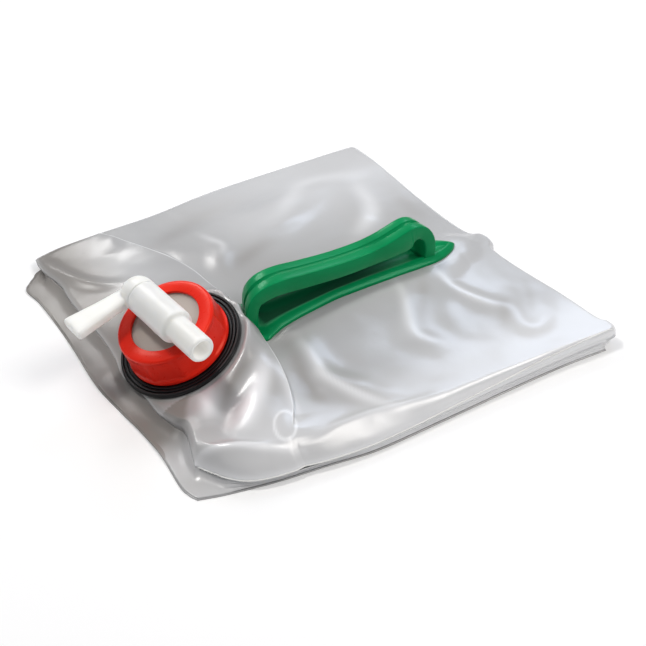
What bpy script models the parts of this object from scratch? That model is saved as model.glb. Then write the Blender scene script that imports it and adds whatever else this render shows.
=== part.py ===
"""Collapsible water carrier, folded flat: a welded film bag with a tilted neck, a screw
collar that holds a barrel tap, and a moulded strap handle. Metres, +Z up."""

import math

import bmesh
import bpy
from mathutils import Matrix, Vector

# Clearances
REST_GAP = 0.0003
FILM_GAP = 0.0004
CUT_OVERRUN = 0.002
MERGE_DISTANCE = 0.00001

# Film bag, folded flat on the ground
FILM_WALL = 0.0006
FOLD_HEIGHT = 0.0148
RIM_HEIGHT = 0.0048
SHOULDER = 0.0065
PLEAT_REACH = 0.0367
PLEAT_TURN = 0.0014
BED_RISE = 0.0042
BED_MARGIN = 0.0020
BED_FADE = 0.0180
PANEL_CORNER = 0.004
NECK_END = 0.125
FAR_END = 0.121
FRONT_AT_NECK_END = 0.101
FRONT_AT_FAR_END = 0.126
BACK_AT_NECK_END = 0.112
BACK_AT_FAR_END = 0.118
TOP_SETBACK = 0.0075
FLAP_REACH = 0.013
FLAP_START = 0.008
GUSSET_DEPTH = 0.092
GUSSET_RISE = 0.024
GUSSET_INSET = 0.0015
MITRE_GAP = 0.0012

# Front edge from the neck end to the far end, between its two distances from the middle
FRONT_LINE_SHARES = (
    (0.0, 0.0), (0.08, 0.26), (0.16, 0.46), (0.32, 0.72), (0.46, 0.84), (0.62, 0.84),
    (0.80, 0.92), (1.0, 1.0),
)

# Lie of the top panel round the neck, from the neck end past the front. A pleat crosses the
# packet between the neck and the handle. Share of a turn, how far out the pleat's crest is,
# heights of the crest, of the film beyond it and of the shoulder, and the shoulder's width
PANEL_SHARES = (
    (0.000, 0.92, 0.34, 0.34, 0.33, 0.4), (0.100, 1.05, 0.48, 0.44, 0.38, 0.5),
    (0.160, 1.25, 0.52, 0.47, 0.40, 0.5), (0.180, 1.45, 0.84, 0.84, 0.60, 1.0),
    (0.195, 1.60, 1.00, 1.00, 1.18, 1.6), (0.210, 1.80, 1.03, 1.03, 1.35, 2.0),
    (0.230, 2.05, 1.14, 1.14, 1.33, 2.0), (0.250, 2.30, 1.19, 1.19, 1.20, 1.9),
    (0.268, 2.45, 1.17, 1.15, 0.98, 1.5), (0.281, 2.48, 1.14, 1.02, 0.88, 1.3),
    (0.295, 2.27, 1.21, 0.94, 0.86, 1.2), (0.320, 1.96, 1.30, 0.93, 0.85, 1.2),
    (0.350, 1.62, 1.41, 0.93, 0.85, 1.1), (0.400, 1.24, 1.57, 0.88, 0.85, 1.0),
    (0.450, 0.98, 1.62, 0.87, 0.84, 1.0), (0.500, 0.94, 1.55, 0.87, 0.80, 1.0),
    (0.550, 0.98, 1.53, 0.87, 0.75, 1.0), (0.600, 1.27, 1.40, 0.88, 0.72, 1.0),
    (0.650, 1.75, 1.15, 0.92, 0.71, 1.0), (0.680, 2.20, 0.96, 0.86, 0.70, 1.0),
    (0.700, 2.62, 0.85, 0.78, 0.68, 1.0), (0.725, 3.05, 0.72, 0.69, 0.63, 1.0),
    (0.750, 3.05, 0.65, 0.64, 0.58, 1.0), (0.790, 2.60, 0.51, 0.51, 0.47, 0.8),
    (0.830, 1.60, 0.46, 0.45, 0.40, 0.6), (0.900, 1.05, 0.42, 0.40, 0.36, 0.5),
    (1.000, 0.92, 0.34, 0.34, 0.33, 0.4),
)
# Rise of the film under the handle, from the handle's neck end to its far tip
BED_SHARES = ((0.0, -0.45), (0.40, 0.72), (0.55, 0.93), (0.68, 1.0), (0.80, 0.97), (1.0, 0.78))

# Neck line: the neck and the handle share it
NECK_X = -0.083
NECK_Y = -0.013
NECK_Z = 0.0196
NECK_TILT = math.radians(22.0)
LINE_TURN = math.radians(-2.5)

# Neck fitting
NECK_BORE_R = 0.0195
NECK_WALL = 0.0041
NECK_RISE = 0.0140
NECK_EDGE = 0.0006
FLANGE_WIDTH = 0.0109
FLANGE_WALL = 0.0014
FLANGE_RIDGE = 0.0012
RIDGE_PITCH = 0.0020
RIDGE_COUNT = 3
SPIGOT_WALL = 0.0017
SPIGOT_DROP = 0.0030
NECK_R = NECK_BORE_R + NECK_WALL
FLANGE_R = NECK_R + FLANGE_WIDTH
SPIGOT_R = NECK_BORE_R + SPIGOT_WALL

# Sealing washer and tap disc
WASHER_WALL = 0.0017
WASHER_REACH = 0.0017
DISC_CLEAR = 0.0010
DISC_WALL = 0.0018

# Screw collar
THREAD_ROOM = 0.0017
COLLAR_WALL = 0.0019
COLLAR_FLARE = 0.0010
COLLAR_LIP = 0.0050
COLLAR_ROOF = 0.0018
COLLAR_BEAD = 0.0005
COLLAR_BEAD_HEIGHT = 0.0024
COLLAR_EDGE = 0.0016
COLLAR_FLATS = 10
COLLAR_FLAT_DEPTH = 0.0006
COLLAR_BORE_R = NECK_R + THREAD_ROOM
COLLAR_TOP_R = COLLAR_BORE_R + COLLAR_WALL
COLLAR_BASE_R = COLLAR_TOP_R + COLLAR_FLARE
DISC_R = COLLAR_BORE_R - DISC_CLEAR
COLLAR_WINDOW_R = DISC_R - COLLAR_LIP
WASHER_BORE_R = NECK_BORE_R - WASHER_REACH

# Tap: places along the barrel are from the neck's axis, with the nozzle's side positive
TAP_TURN = math.radians(-83.0)
WATERWAY_R = 0.0046
PORT_R = 0.0036
STUB_WALL = 0.0042
SHANK_WALL = 0.0026
BARREL_WALL = 0.0022
BARREL_CLEAR = 0.0004
BARREL_FROM = -0.0132
BARREL_TO = 0.0195
NOZZLE_WALL = 0.0024
NOZZLE_TO = 0.0440
NOZZLE_EDGE = 0.0008
STEP_RUN = 0.0012
PLUG_STOP = 0.0025
STUB_R = PORT_R + STUB_WALL
PLUG_SEAT_R = WATERWAY_R + SHANK_WALL
PLUG_SEAT_TO = BARREL_TO - PLUG_STOP
BARREL_R = PLUG_SEAT_R + BARREL_WALL
NOZZLE_R = WATERWAY_R + NOZZLE_WALL

# Tap plug and its lever
HEAD_LENGTH = 0.0138
HEAD_EDGE = 0.0006
SHANK_FLOOR = 0.0062
LEVER_FROM_BARREL = 0.0073
LEVER_LENGTH = 0.0400
LEVER_ROOT_WIDTH = 0.0108
LEVER_END_WIDTH = 0.0165
LEVER_THICKNESS = 0.0062
LEVER_ROOT_SINK = 0.0035
LEVER_RISE = math.radians(12.0)
LEVER_EDGE = 0.0018
HEAD_TIP = BARREL_FROM - HEAD_LENGTH
PLUG_HOLLOW_FROM = BARREL_FROM + SHANK_FLOOR
LEVER_AT = BARREL_FROM - LEVER_FROM_BARREL

# Carry handle
HANDLE_FROM_NECK = 0.1080
HANDLE_LENGTH = 0.1400
BASE_HALF_WIDTH = 0.0160
BASE_HEIGHT = 0.0034
GRIP_RISE = 0.0282
GRIP_THICKNESS = 0.0100
GRIP_WIDTH = 0.0136
GRIP_GROOVE = 0.0010
GRIP_EDGE = 0.0016

# Section of one flange ridge: place across its pitch, and height
RIDGE_SHARES = ((-0.40, 0.0), (-0.22, 0.75), (0.0, 1.0), (0.22, 0.75), (0.40, 0.0))
# Half width of the handle's leaf-shaped base from the neck end to its far tip
BASE_OUTLINE_SHARES = (
    (0.0, 0.48), (0.02, 0.83), (0.047, 1.0), (0.08, 0.90), (0.13, 0.74), (0.173, 0.67),
    (0.23, 0.61), (0.316, 0.56), (0.40, 0.53), (0.546, 0.57), (0.70, 0.60), (0.83, 0.61),
    (0.90, 0.55), (0.95, 0.42), (0.98, 0.27), (1.0, 0.08),
)
# Section of the base from its edge inwards: inset, and height
BASE_SECTION_SHARES = ((0.0, 0.0), (0.0, 0.40), (0.08, 0.62), (0.45, 1.0), (0.62, 0.94), (0.80, 0.72))
# Outer line of the grip: place along half the handle's length, height, and grip thickness
GRIP_PATH_SHARES = (
    (-0.985, 0.00, 0.72), (-0.990, 0.34, 0.74), (-0.978, 0.62, 0.80), (-0.936, 0.82, 0.90),
    (-0.840, 0.96, 0.98), (-0.690, 1.00, 1.00), (-0.457, 0.945, 1.00), (-0.229, 0.90, 1.00),
    (-0.071, 0.888, 1.00), (0.100, 0.90, 1.00), (0.243, 0.95, 1.12), (0.350, 1.02, 1.30),
    (0.430, 1.08, 1.34), (0.490, 1.112, 1.12), (0.545, 1.108, 0.98), (0.600, 1.06, 0.90),
    (0.648, 0.96, 0.80), (0.690, 0.80, 0.72), (0.716, 0.60, 0.70), (0.722, 0.38, 0.70),
    (0.716, 0.16, 0.72),
)
# Grip width at its neck-end foot, in the hand, and at its far foot
GRIP_WIDTH_SHARES = (1.12, 1.0, 0.94)
# Places along a spoke of the top panel: up to the crest, beyond it and over the shoulder
CREST_SHARES = (0.35, 0.7, 1.0)
PLATEAU_SHARES = (0.07, 0.15, 0.26, 0.40, 0.58, 0.80, 1.0)
SHOULDER_SHARES = (0.4, 0.75, 1.0)
# Steps along the grip's path that give its direction
TANGENT_SHARES = (0.01, -0.01)

# Fineness of the round shapes
ROUND_STEPS = 60
SMALL_STEPS = 40
GRIP_STATIONS = 56
BASE_STATIONS = 24
DOME_STEPS = 7
LEAST_SPOKE_TURN = 2.2
CLOSE_SPOKE_TURNS = (-81.0, -75.0, -69.0, -63.0, -9.0, -6.0, -3.0, 0.0, 3.0, 6.0, 9.0)
SHARP_CORNER = math.radians(140.0)
FILM_CREASE = math.radians(60.0)


def clear_scene():
    for obj in list(bpy.data.objects):
        bpy.data.objects.remove(obj, do_unlink=True)


def make_collection(name):
    collection = bpy.data.collections.new(name)
    bpy.context.scene.collection.children.link(collection)
    return collection


def make_material(name, colour, roughness, metallic=0.0, alpha=1.0):
    material = bpy.data.materials.new(name)
    material.use_nodes = True
    shader = material.node_tree.nodes["Principled BSDF"]
    shader.inputs["Base Color"].default_value = (*colour, 1.0)
    shader.inputs["Roughness"].default_value = roughness
    shader.inputs["Metallic"].default_value = metallic
    shader.inputs["Alpha"].default_value = alpha
    material.diffuse_color = (*colour, alpha)
    return material


clear_scene()
PARTS = make_collection("water_carrier")
CUTTERS = make_collection("water_carrier_cutters")
FILM = make_material("clear_film", (0.70, 0.70, 0.69), 0.22, alpha=0.55)
BLACK = make_material("black_moulding", (0.012, 0.012, 0.013), 0.32)
RED = make_material("red_moulding", (0.80, 0.022, 0.020), 0.30)
NATURAL = make_material("natural_moulding", (0.86, 0.86, 0.83), 0.38)
SEAL = make_material("washer_rubber", (0.30, 0.30, 0.29), 0.60)
GREEN = make_material("green_moulding", (0.004, 0.28, 0.10), 0.34)


def place(obj, parent=None, material=None, cutter=False):
    (CUTTERS if cutter else PARTS).objects.link(obj)
    obj.parent = parent
    if material:
        obj.data.materials.append(material)
    if cutter:
        obj.hide_render = True
        obj.display_type = "WIRE"
    return obj


def make_frame(name, location, rotation=None, parent=None):
    frame = bpy.data.objects.new(name, None)
    PARTS.objects.link(frame)
    frame.parent = parent
    frame.location = location
    if rotation is not None:
        frame.rotation_euler = rotation.to_euler()
    return frame


def finished_mesh(name, bm, material=None, parent=None, cutter=False, crease=math.radians(35.0)):
    mesh = bpy.data.meshes.new(name)
    bm.to_mesh(mesh)
    bm.free()
    mesh.shade_smooth()
    mesh.set_sharp_from_angle(angle=crease)
    return place(bpy.data.objects.new(name, mesh), parent, material, cutter)


def turned(name, profile, parent=None, material=None, cutter=False, steps=ROUND_STEPS, closed=True):
    """Turn a profile of (radius, height) about the local Z axis, outer side first, from its
    top down. An open profile starts and ends on the axis."""
    mesh = bpy.data.meshes.new(name)
    count = len(profile)
    edges = [(i, i + 1) for i in range(count - 1)]
    if closed:
        edges.append((count - 1, 0))
    mesh.from_pydata([(radius, 0.0, height) for radius, height in profile], edges, [])
    obj = place(bpy.data.objects.new(name, mesh), parent, material, cutter)
    screw = obj.modifiers.new("turn", "SCREW")
    screw.axis = "Z"
    screw.steps = steps
    screw.render_steps = steps
    screw.use_merge_vertices = True
    screw.merge_threshold = MERGE_DISTANCE
    return obj


def boolean(obj, other, operation):
    modifier = obj.modifiers.new(operation.lower(), "BOOLEAN")
    modifier.operation = operation
    modifier.object = other
    modifier.solver = "EXACT"


def bridge(bm, rings, closed_rings=True, close_ends=False):
    """Join rings of equally many points with faces; with close_ends the last joins the first."""
    pairs = list(zip(rings, rings[1:]))
    if close_ends:
        pairs.append((rings[-1], rings[0]))
    for lower, upper in pairs:
        count = len(lower)
        for i in range(count if closed_rings else count - 1):
            j = (i + 1) % count
            bm.faces.new((lower[i], lower[j], upper[j], upper[i]))


def lerp(a, b, share):
    return a + (b - a) * share


def smooth(share):
    share = min(max(share, 0.0), 1.0)
    return share * share * (3.0 - 2.0 * share)


def table_value(shares, at):
    """Read a table of (place, value) shares at a place, straight between its rows."""
    for (x0, y0), (x1, y1) in zip(shares, shares[1:]):
        if at <= x1:
            return lerp(y0, y1, (at - x0) / (x1 - x0))
    return shares[-1][1]


def table_row(shares, at):
    """Read a table of (place, value, value, ...) shares at a place, all its values."""
    return [table_value([(row[0], row[k]) for row in shares], at) for k in range(1, len(shares[0]))]


def curve_point(points, at):
    """Point on a smooth curve through the given points; at runs from 0 to 1."""
    last = len(points) - 1
    whole = min(int(at * last), last - 1)
    t = at * last - whole
    p0, p1, p2, p3 = (points[min(max(whole + k, 0), last)] for k in (-1, 0, 1, 2))
    return tuple(
        0.5 * (2 * b + (c - a) * t + (2 * a - 5 * b + 4 * c - d) * t * t + (3 * b - a - 3 * c + d) * t ** 3)
        for a, b, c, d in zip(p0, p1, p2, p3)
    )


# Film bag: outlines and heights

def front_y(x):
    """The front edge bows out between the bag's two ends."""
    along = min(max((x + NECK_END) / (NECK_END + FAR_END), 0.0), 1.0)
    share = table_value(FRONT_LINE_SHARES, along)
    return -lerp(FRONT_AT_NECK_END, FRONT_AT_FAR_END, share)


def front_points(start_x, end_x):
    """Corners of the front edge between two places along the bag."""
    places = [lerp(-NECK_END, FAR_END, share) for share, _ in FRONT_LINE_SHARES]
    inner = [x for x in places if start_x + PANEL_CORNER < x < end_x - PANEL_CORNER]
    return [(x, front_y(x)) for x in [start_x] + inner + [end_x]]


def bottom_corners():
    return front_points(-NECK_END, FAR_END) + [
        (FAR_END, BACK_AT_FAR_END),
        (-NECK_END, BACK_AT_NECK_END),
    ]


def top_corners():
    """The top panel is set back at the neck end, and its front part sticks out as a flap."""
    neck_end = -NECK_END + TOP_SETBACK
    flap_end = FAR_END + FLAP_REACH
    return front_points(neck_end, FAR_END - PANEL_CORNER) + [
        (flap_end, -FRONT_AT_FAR_END + PANEL_CORNER),
        (flap_end, -FRONT_AT_FAR_END + SHOULDER),
        (flap_end - PANEL_CORNER, -FLAP_START - PANEL_CORNER),
        (FAR_END, FLAP_START - PANEL_CORNER),
        (FAR_END - PANEL_CORNER, BACK_AT_FAR_END),
        (neck_end + PANEL_CORNER, BACK_AT_FAR_END),
        (neck_end, BACK_AT_NECK_END - PANEL_CORNER),
    ]


def sides(corners):
    return list(zip(corners, corners[1:] + corners[:1]))


def ray_exit(start, direction, corners):
    """How far a ray runs before it leaves an outline."""
    best = math.inf
    for a, b in sides(corners):
        side, offset = Vector(b) - Vector(a), Vector(a) - start
        cross = direction.x * side.y - direction.y * side.x
        if cross:
            reach = (offset.x * side.y - offset.y * side.x) / cross
            share = (offset.x * direction.y - offset.y * direction.x) / cross
            if reach > 0.0 and 0.0 <= round(share, 5) <= 1.0:
                best = min(best, reach)
    return best


# Neck frame: its origin is on the flange's upper face, and its Z is the neck's axis

NECK_TURN = Matrix.Rotation(LINE_TURN, 4, "Z") @ Matrix.Rotation(-NECK_TILT, 4, "Y")
NECK_PLACE = Matrix.Translation((NECK_X, NECK_Y, NECK_Z)) @ NECK_TURN
NECK_AXIS = NECK_TURN.to_3x3() @ Vector((0.0, 0.0, 1.0))
PANEL_SEAT = NECK_PLACE @ Vector((0.0, 0.0, -FLANGE_WALL - REST_GAP))
SEAT_TO = FLANGE_R + FLANGE_RIDGE
TOP_OUTLINE = top_corners()


def spoke_scale(angle):
    """Reach in plan, along a spoke, of a circle of radius 1 on the tilted flange."""
    along, across = math.cos(angle - LINE_TURN), math.sin(angle - LINE_TURN)
    return 1.0 / math.hypot(along / math.cos(NECK_TILT), across)


def seat_height(angle, reach):
    """Height of the plane under the flange, along a spoke."""
    slope = (math.cos(angle) * NECK_AXIS.x + math.sin(angle) * NECK_AXIS.y) / NECK_AXIS.z
    return PANEL_SEAT.z - reach * slope


def spoke_facts(angle, edge):
    """Where a spoke leaves the flange, crosses the crest, meets the film beyond it and starts
    its shoulder, and the heights of the last three."""
    share = (angle / math.tau + 0.5) % 1.0
    crest_share, crest_up, beyond_up, shoulder_up, width_share = table_row(PANEL_SHARES, share)
    seat = SEAT_TO * spoke_scale(angle)
    shoulder = max(edge - width_share * SHOULDER, seat)
    crest = min(max(crest_share * PLEAT_REACH, seat), shoulder)
    beyond = min(crest + PLEAT_TURN, shoulder)
    heights = [up * FOLD_HEIGHT for up in (crest_up, beyond_up, shoulder_up)]
    return seat, crest, beyond, shoulder, heights


def part_way(low, high, at):
    return (at - low) / (high - low) if high > low else 1.0


def panel_height(angle, reach, edge):
    """Height of the top panel's upper face along a spoke: level with the flange, up or down to
    the pleat's crest, down beyond it, on to the shoulder, and round to the rim."""
    seat, crest, beyond, shoulder, (crest_z, beyond_z, shoulder_z) = spoke_facts(angle, edge)
    if reach <= seat:
        return seat_height(angle, reach)
    if reach < crest:
        return lerp(seat_height(angle, seat), crest_z, part_way(seat, crest, reach))
    if reach < beyond:
        return lerp(crest_z, beyond_z, part_way(crest, beyond, reach))
    film_z = lerp(beyond_z, shoulder_z, part_way(beyond, shoulder, min(reach, shoulder)))
    if shoulder <= seat:
        film_z = seat_height(angle, seat)
    elif crest < shoulder:
        film_z = over_bed(angle, reach, film_z)
    round_off = math.sqrt(max(1.0 - part_way(shoulder, edge, max(reach, shoulder)) ** 2, 0.0))
    return lerp(RIM_HEIGHT, film_z, round_off if reach > shoulder else 1.0)


def bed_rise(share):
    return BED_RISE * table_value(BED_SHARES, min(max(share, 0.0), 1.0))


def over_bed(angle, reach, film_z):
    """Film height where the handle's bed lifts it, fading out beyond the handle's base."""
    if math.cos(angle) <= 0.0:
        return film_z
    along = reach * math.cos(angle - LINE_TURN) + PANEL_SEAT.x - NECK_X - HANDLE_FROM_NECK
    share = along / HANDLE_LENGTH + 0.5
    aside = abs(reach * math.sin(angle - LINE_TURN)) - base_half_width(share) - BED_MARGIN
    beyond = max(-share, share - 1.0) * HANDLE_LENGTH - BED_MARGIN
    away = math.hypot(max(aside, 0.0), max(beyond, 0.0))
    return lerp(FOLD_HEIGHT + bed_rise(share), film_z, smooth(away / BED_FADE))


def spoke_reaches(angle, edge):
    """Distances from the neck's axis at which a spoke of the top panel has its points."""
    seat, crest, beyond, shoulder, _ = spoke_facts(angle, edge)
    reaches = [radius * spoke_scale(angle) for radius in (SPIGOT_R + REST_GAP, FLANGE_R, SEAT_TO)]
    reaches += [lerp(seat, crest, share) for share in CREST_SHARES] + [beyond]
    reaches += [lerp(beyond, shoulder, share) for share in PLATEAU_SHARES]
    reaches += [lerp(shoulder, edge, share) for share in SHOULDER_SHARES]
    last = len(reaches) - 1
    return [min(reach, edge - (last - i) * FILM_WALL) for i, reach in enumerate(reaches)]


def spoke_turns(start):
    """Directions of the spokes in degrees: through the outline's corners, close together at
    the pleat's front end and over the handle's bed, and even elsewhere."""
    turns = [math.degrees(math.atan2(y - start.y, x - start.x)) for x, y in TOP_OUTLINE]
    steps = [math.degrees(math.tau * i / ROUND_STEPS - math.pi) for i in range(ROUND_STEPS)]
    close = [math.degrees(LINE_TURN) + turn for turn in CLOSE_SPOKE_TURNS]
    for turn in close + steps:
        if all(abs(turn - other) > LEAST_SPOKE_TURN for other in turns):
            turns.append(turn)
    return sorted(turns)


def make_top_panel():
    """Loft from the round neck hole to the panel's outline."""
    start = Vector((PANEL_SEAT.x, PANEL_SEAT.y))
    bm = bmesh.new()
    spokes = []
    for turn in spoke_turns(start):
        angle = math.radians(turn)
        direction = Vector((math.cos(angle), math.sin(angle)))
        edge = ray_exit(start, direction, TOP_OUTLINE)
        spoke = []
        for reach in spoke_reaches(angle, edge):
            x, y = start + direction * reach
            spoke.append(bm.verts.new((x, y, panel_height(angle, reach, edge))))
        spokes.append(spoke)
    bridge(bm, spokes, closed_rings=False, close_ends=True)
    return film_object("top_panel", bm, -1.0)


def film_object(name, bm, side):
    """An open sheet, its highest face turned up, with the film's wall on one side of it."""
    bm.normal_update()
    highest = max(bm.faces, key=lambda face: face.calc_center_median().z)
    if highest.normal.z < 0.0:
        bmesh.ops.reverse_faces(bm, faces=bm.faces)
    obj = finished_mesh(name, bm, FILM, crease=FILM_CREASE)
    wall = obj.modifiers.new("film", "SOLIDIFY")
    wall.thickness = FILM_WALL
    wall.offset = side
    wall.use_even_offset = True
    return obj


def make_bottom_panel():
    """Flat sheet that the folded bag lies on, with its corners cut round."""
    curve = bpy.data.curves.new("bottom_panel", "CURVE")
    curve.dimensions = "2D"
    curve.fill_mode = "BOTH"
    curve.extrude = 0.5 * FILM_WALL
    outline = rounded(bottom_corners(), PANEL_CORNER)
    spline = curve.splines.new("POLY")
    spline.points.add(len(outline) - 1)
    for point, (x, y) in zip(spline.points, outline):
        point.co = (x, y, 0.0, 1.0)
    spline.use_cyclic_u = True
    panel = place(bpy.data.objects.new("bottom_panel", curve), material=FILM)
    panel.location.z = 0.5 * FILM_WALL
    return panel


def rounded(corners, radius, steps=4):
    """Outline with each sharp corner turned into a short curve."""
    points = []
    for before, (corner, after) in zip(corners[-1:] + corners[:-1], sides(corners)):
        a, b, c = Vector(before), Vector(corner), Vector(after)
        if (a - b).angle(c - b) > SHARP_CORNER:
            points.append(corner)
            continue
        start = b + (a - b).normalized() * radius
        end = b + (c - b).normalized() * radius
        for step in range(steps + 1):
            share = step / steps
            points.append(tuple(start.lerp(b, share).lerp(b.lerp(end, share), share)))
    return points


def gusset_point(side, along, depth):
    """Place in plan of a point of a folded wall: its share along its side of the bag, and its
    depth in from that side."""
    end = depth + MITRE_GAP
    if side in ("front", "back"):
        outer_x = lerp(-NECK_END, FAR_END, along)
        x = lerp(-NECK_END + end, FAR_END - end, along)
        if side == "front":
            return x, front_y(outer_x) + depth
        return x, lerp(BACK_AT_NECK_END, BACK_AT_FAR_END, along) - depth
    if side == "neck_end":
        y = lerp(-FRONT_AT_NECK_END + end, BACK_AT_NECK_END - end, along)
        return -NECK_END + depth, y
    return FAR_END - depth, lerp(-FRONT_AT_FAR_END + end, BACK_AT_FAR_END - end, along)


def make_gusset(side, top_inset):
    """Side wall of the bag folded inwards in one deep pleat: an upper ply, the fold and a
    lower ply, drawn along the faces that touch inside the pleat."""
    lower = FILM_WALL + REST_GAP + FILM_WALL
    upper = lower + FILM_GAP
    under_rim = RIM_HEIGHT - FILM_WALL - REST_GAP - FILM_WALL
    profile = [(top_inset, under_rim), (GUSSET_RISE, upper), (GUSSET_DEPTH, upper)]
    profile += [(GUSSET_DEPTH + 0.5 * FILM_GAP, 0.5 * (lower + upper))]
    profile += [(GUSSET_DEPTH, lower), (GUSSET_INSET, lower)]
    stations = [share for share, _ in FRONT_LINE_SHARES] if side == "front" else [0.0, 1.0]
    bm = bmesh.new()
    rings = []
    for along in stations:
        ring = []
        for depth, height in profile:
            ring.append(bm.verts.new((*gusset_point(side, along, depth), height)))
        rings.append(ring)
    bridge(bm, rings, closed_rings=False)
    return film_object(side + "_gusset", bm, 1.0)


# Neck fitting, washer and collar: heights above the flange, along the neck's axis

WASHER_BASE = NECK_RISE + REST_GAP
DISC_BASE = WASHER_BASE + WASHER_WALL + REST_GAP
DISC_TOP = DISC_BASE + DISC_WALL
ROOF_BASE = DISC_TOP + REST_GAP
ROOF_TOP = ROOF_BASE + COLLAR_ROOF
COLLAR_BASE = FLANGE_RIDGE + REST_GAP
BARREL_AXIS = ROOF_TOP + BARREL_CLEAR + BARREL_R


def make_neck_fitting(neck):
    """Welding flange with ring ridges, the neck that the collar screws on, and a spigot that
    reaches through the film."""
    profile = [(NECK_BORE_R, NECK_RISE), (NECK_R - NECK_EDGE, NECK_RISE), (NECK_R, NECK_RISE - NECK_EDGE)]
    profile.append((NECK_R, 0.0))
    for ring in range(RIDGE_COUNT, 0, -1):
        middle = FLANGE_R - (ring - 0.5) * RIDGE_PITCH
        for out_share, up_share in RIDGE_SHARES:
            profile.append((middle + out_share * RIDGE_PITCH, up_share * FLANGE_RIDGE))
    profile += [(FLANGE_R, -FLANGE_WALL), (SPIGOT_R, -FLANGE_WALL)]
    profile += [(SPIGOT_R, -FLANGE_WALL - SPIGOT_DROP), (NECK_BORE_R, -FLANGE_WALL - SPIGOT_DROP)]
    return turned("neck_fitting", profile, neck, BLACK)


def make_washer(parent):
    top = WASHER_BASE + WASHER_WALL
    profile = [(WASHER_BORE_R, top), (NECK_R, top), (NECK_R, WASHER_BASE), (WASHER_BORE_R, WASHER_BASE)]
    return turned("sealing_washer", profile, parent, SEAL, steps=SMALL_STEPS)


def collar_wave(turn):
    """0 on the collar's narrow ribs and nearly 1 all over the flats between them."""
    return 1.0 - abs(math.cos(0.5 * COLLAR_FLATS * turn)) ** COLLAR_FLATS


def make_collar(parent):
    """Open collar: a roof with a wide round window, and a skirt with flats for the hand."""
    skirt_top = ROOF_TOP - COLLAR_EDGE
    bead_top = COLLAR_BASE + COLLAR_BEAD_HEIGHT
    flat_top = lerp(bead_top, skirt_top, 0.9)
    profile = [
        (COLLAR_WINDOW_R, ROOF_TOP, 0.0),
        (COLLAR_TOP_R - COLLAR_EDGE, ROOF_TOP, 0.0),
        (COLLAR_TOP_R - 0.3 * COLLAR_EDGE, ROOF_TOP - 0.3 * COLLAR_EDGE, 0.0),
        (COLLAR_TOP_R, skirt_top, 0.0),
        (COLLAR_TOP_R, flat_top, 1.0),
        (COLLAR_BASE_R, bead_top + COLLAR_BEAD, 1.0),
        (COLLAR_BASE_R + COLLAR_BEAD, bead_top, 0.0),
        (COLLAR_BASE_R + COLLAR_BEAD, COLLAR_BASE, 0.0),
        (COLLAR_BORE_R, COLLAR_BASE, 0.0),
        (COLLAR_BORE_R, ROOF_BASE, 0.0),
        (COLLAR_WINDOW_R, ROOF_BASE, 0.0),
    ]
    bm = bmesh.new()
    sections = []
    for step in range(ROUND_STEPS):
        turn = math.tau * step / ROUND_STEPS
        inwards = COLLAR_FLAT_DEPTH * collar_wave(turn)
        section = []
        for radius, height, flat_share in profile:
            reach = radius - flat_share * inwards
            section.append(bm.verts.new((reach * math.cos(turn), reach * math.sin(turn), height)))
        sections.append(section)
    bridge(bm, sections, close_ends=True)
    bmesh.ops.recalc_face_normals(bm, faces=bm.faces)
    return finished_mesh("screw_collar", bm, RED, parent)


# Tap: a disc under the collar, and a barrel across it with the plug in one end

def tap_frame(name, parent):
    """Frame on the barrel's axis: its Z runs from the plug's head to the nozzle, and its X
    points down into the neck."""
    turn = Matrix.Rotation(TAP_TURN, 4, "Z") @ Matrix.Rotation(math.radians(90.0), 4, "Y")
    return make_frame(name, (0.0, 0.0, BARREL_AXIS), turn, parent)


def cylinder(name, radius, low, high, parent, material=None, cutter=False):
    profile = [(0.0, high), (radius, high), (radius, low), (0.0, low)]
    return turned(name, profile, parent, material, cutter, SMALL_STEPS, closed=False)


def make_tap_body(parent):
    body = cylinder("tap_body", DISC_R, DISC_BASE, DISC_TOP, parent, NATURAL)
    body.modifiers["turn"].steps = ROUND_STEPS
    body.modifiers["turn"].render_steps = ROUND_STEPS
    stub = cylinder("tap_stub", STUB_R, DISC_BASE + 0.5 * DISC_WALL, BARREL_AXIS, parent, cutter=True)
    axis = tap_frame("barrel_frame", parent)
    barrel_profile = [
        (0.0, NOZZLE_TO), (NOZZLE_R - NOZZLE_EDGE, NOZZLE_TO), (NOZZLE_R, NOZZLE_TO - NOZZLE_EDGE),
        (NOZZLE_R, BARREL_TO + STEP_RUN), (BARREL_R, BARREL_TO), (BARREL_R, BARREL_FROM),
        (0.0, BARREL_FROM),
    ]
    barrel = turned("tap_barrel", barrel_profile, axis, cutter=True, steps=SMALL_STEPS, closed=False)
    out, back = NOZZLE_TO + CUT_OVERRUN, BARREL_FROM - CUT_OVERRUN
    bore_profile = [
        (0.0, out), (WATERWAY_R, out), (WATERWAY_R, PLUG_SEAT_TO), (PLUG_SEAT_R, PLUG_SEAT_TO),
        (PLUG_SEAT_R, back), (0.0, back),
    ]
    bore = turned("tap_bore", bore_profile, axis, cutter=True, steps=SMALL_STEPS, closed=False)
    port = cylinder("tap_port", PORT_R, DISC_BASE - CUT_OVERRUN, BARREL_AXIS, parent, cutter=True)
    boolean(body, stub, "UNION")
    boolean(body, barrel, "UNION")
    boolean(body, bore, "DIFFERENCE")
    boolean(body, port, "DIFFERENCE")
    return body


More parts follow.
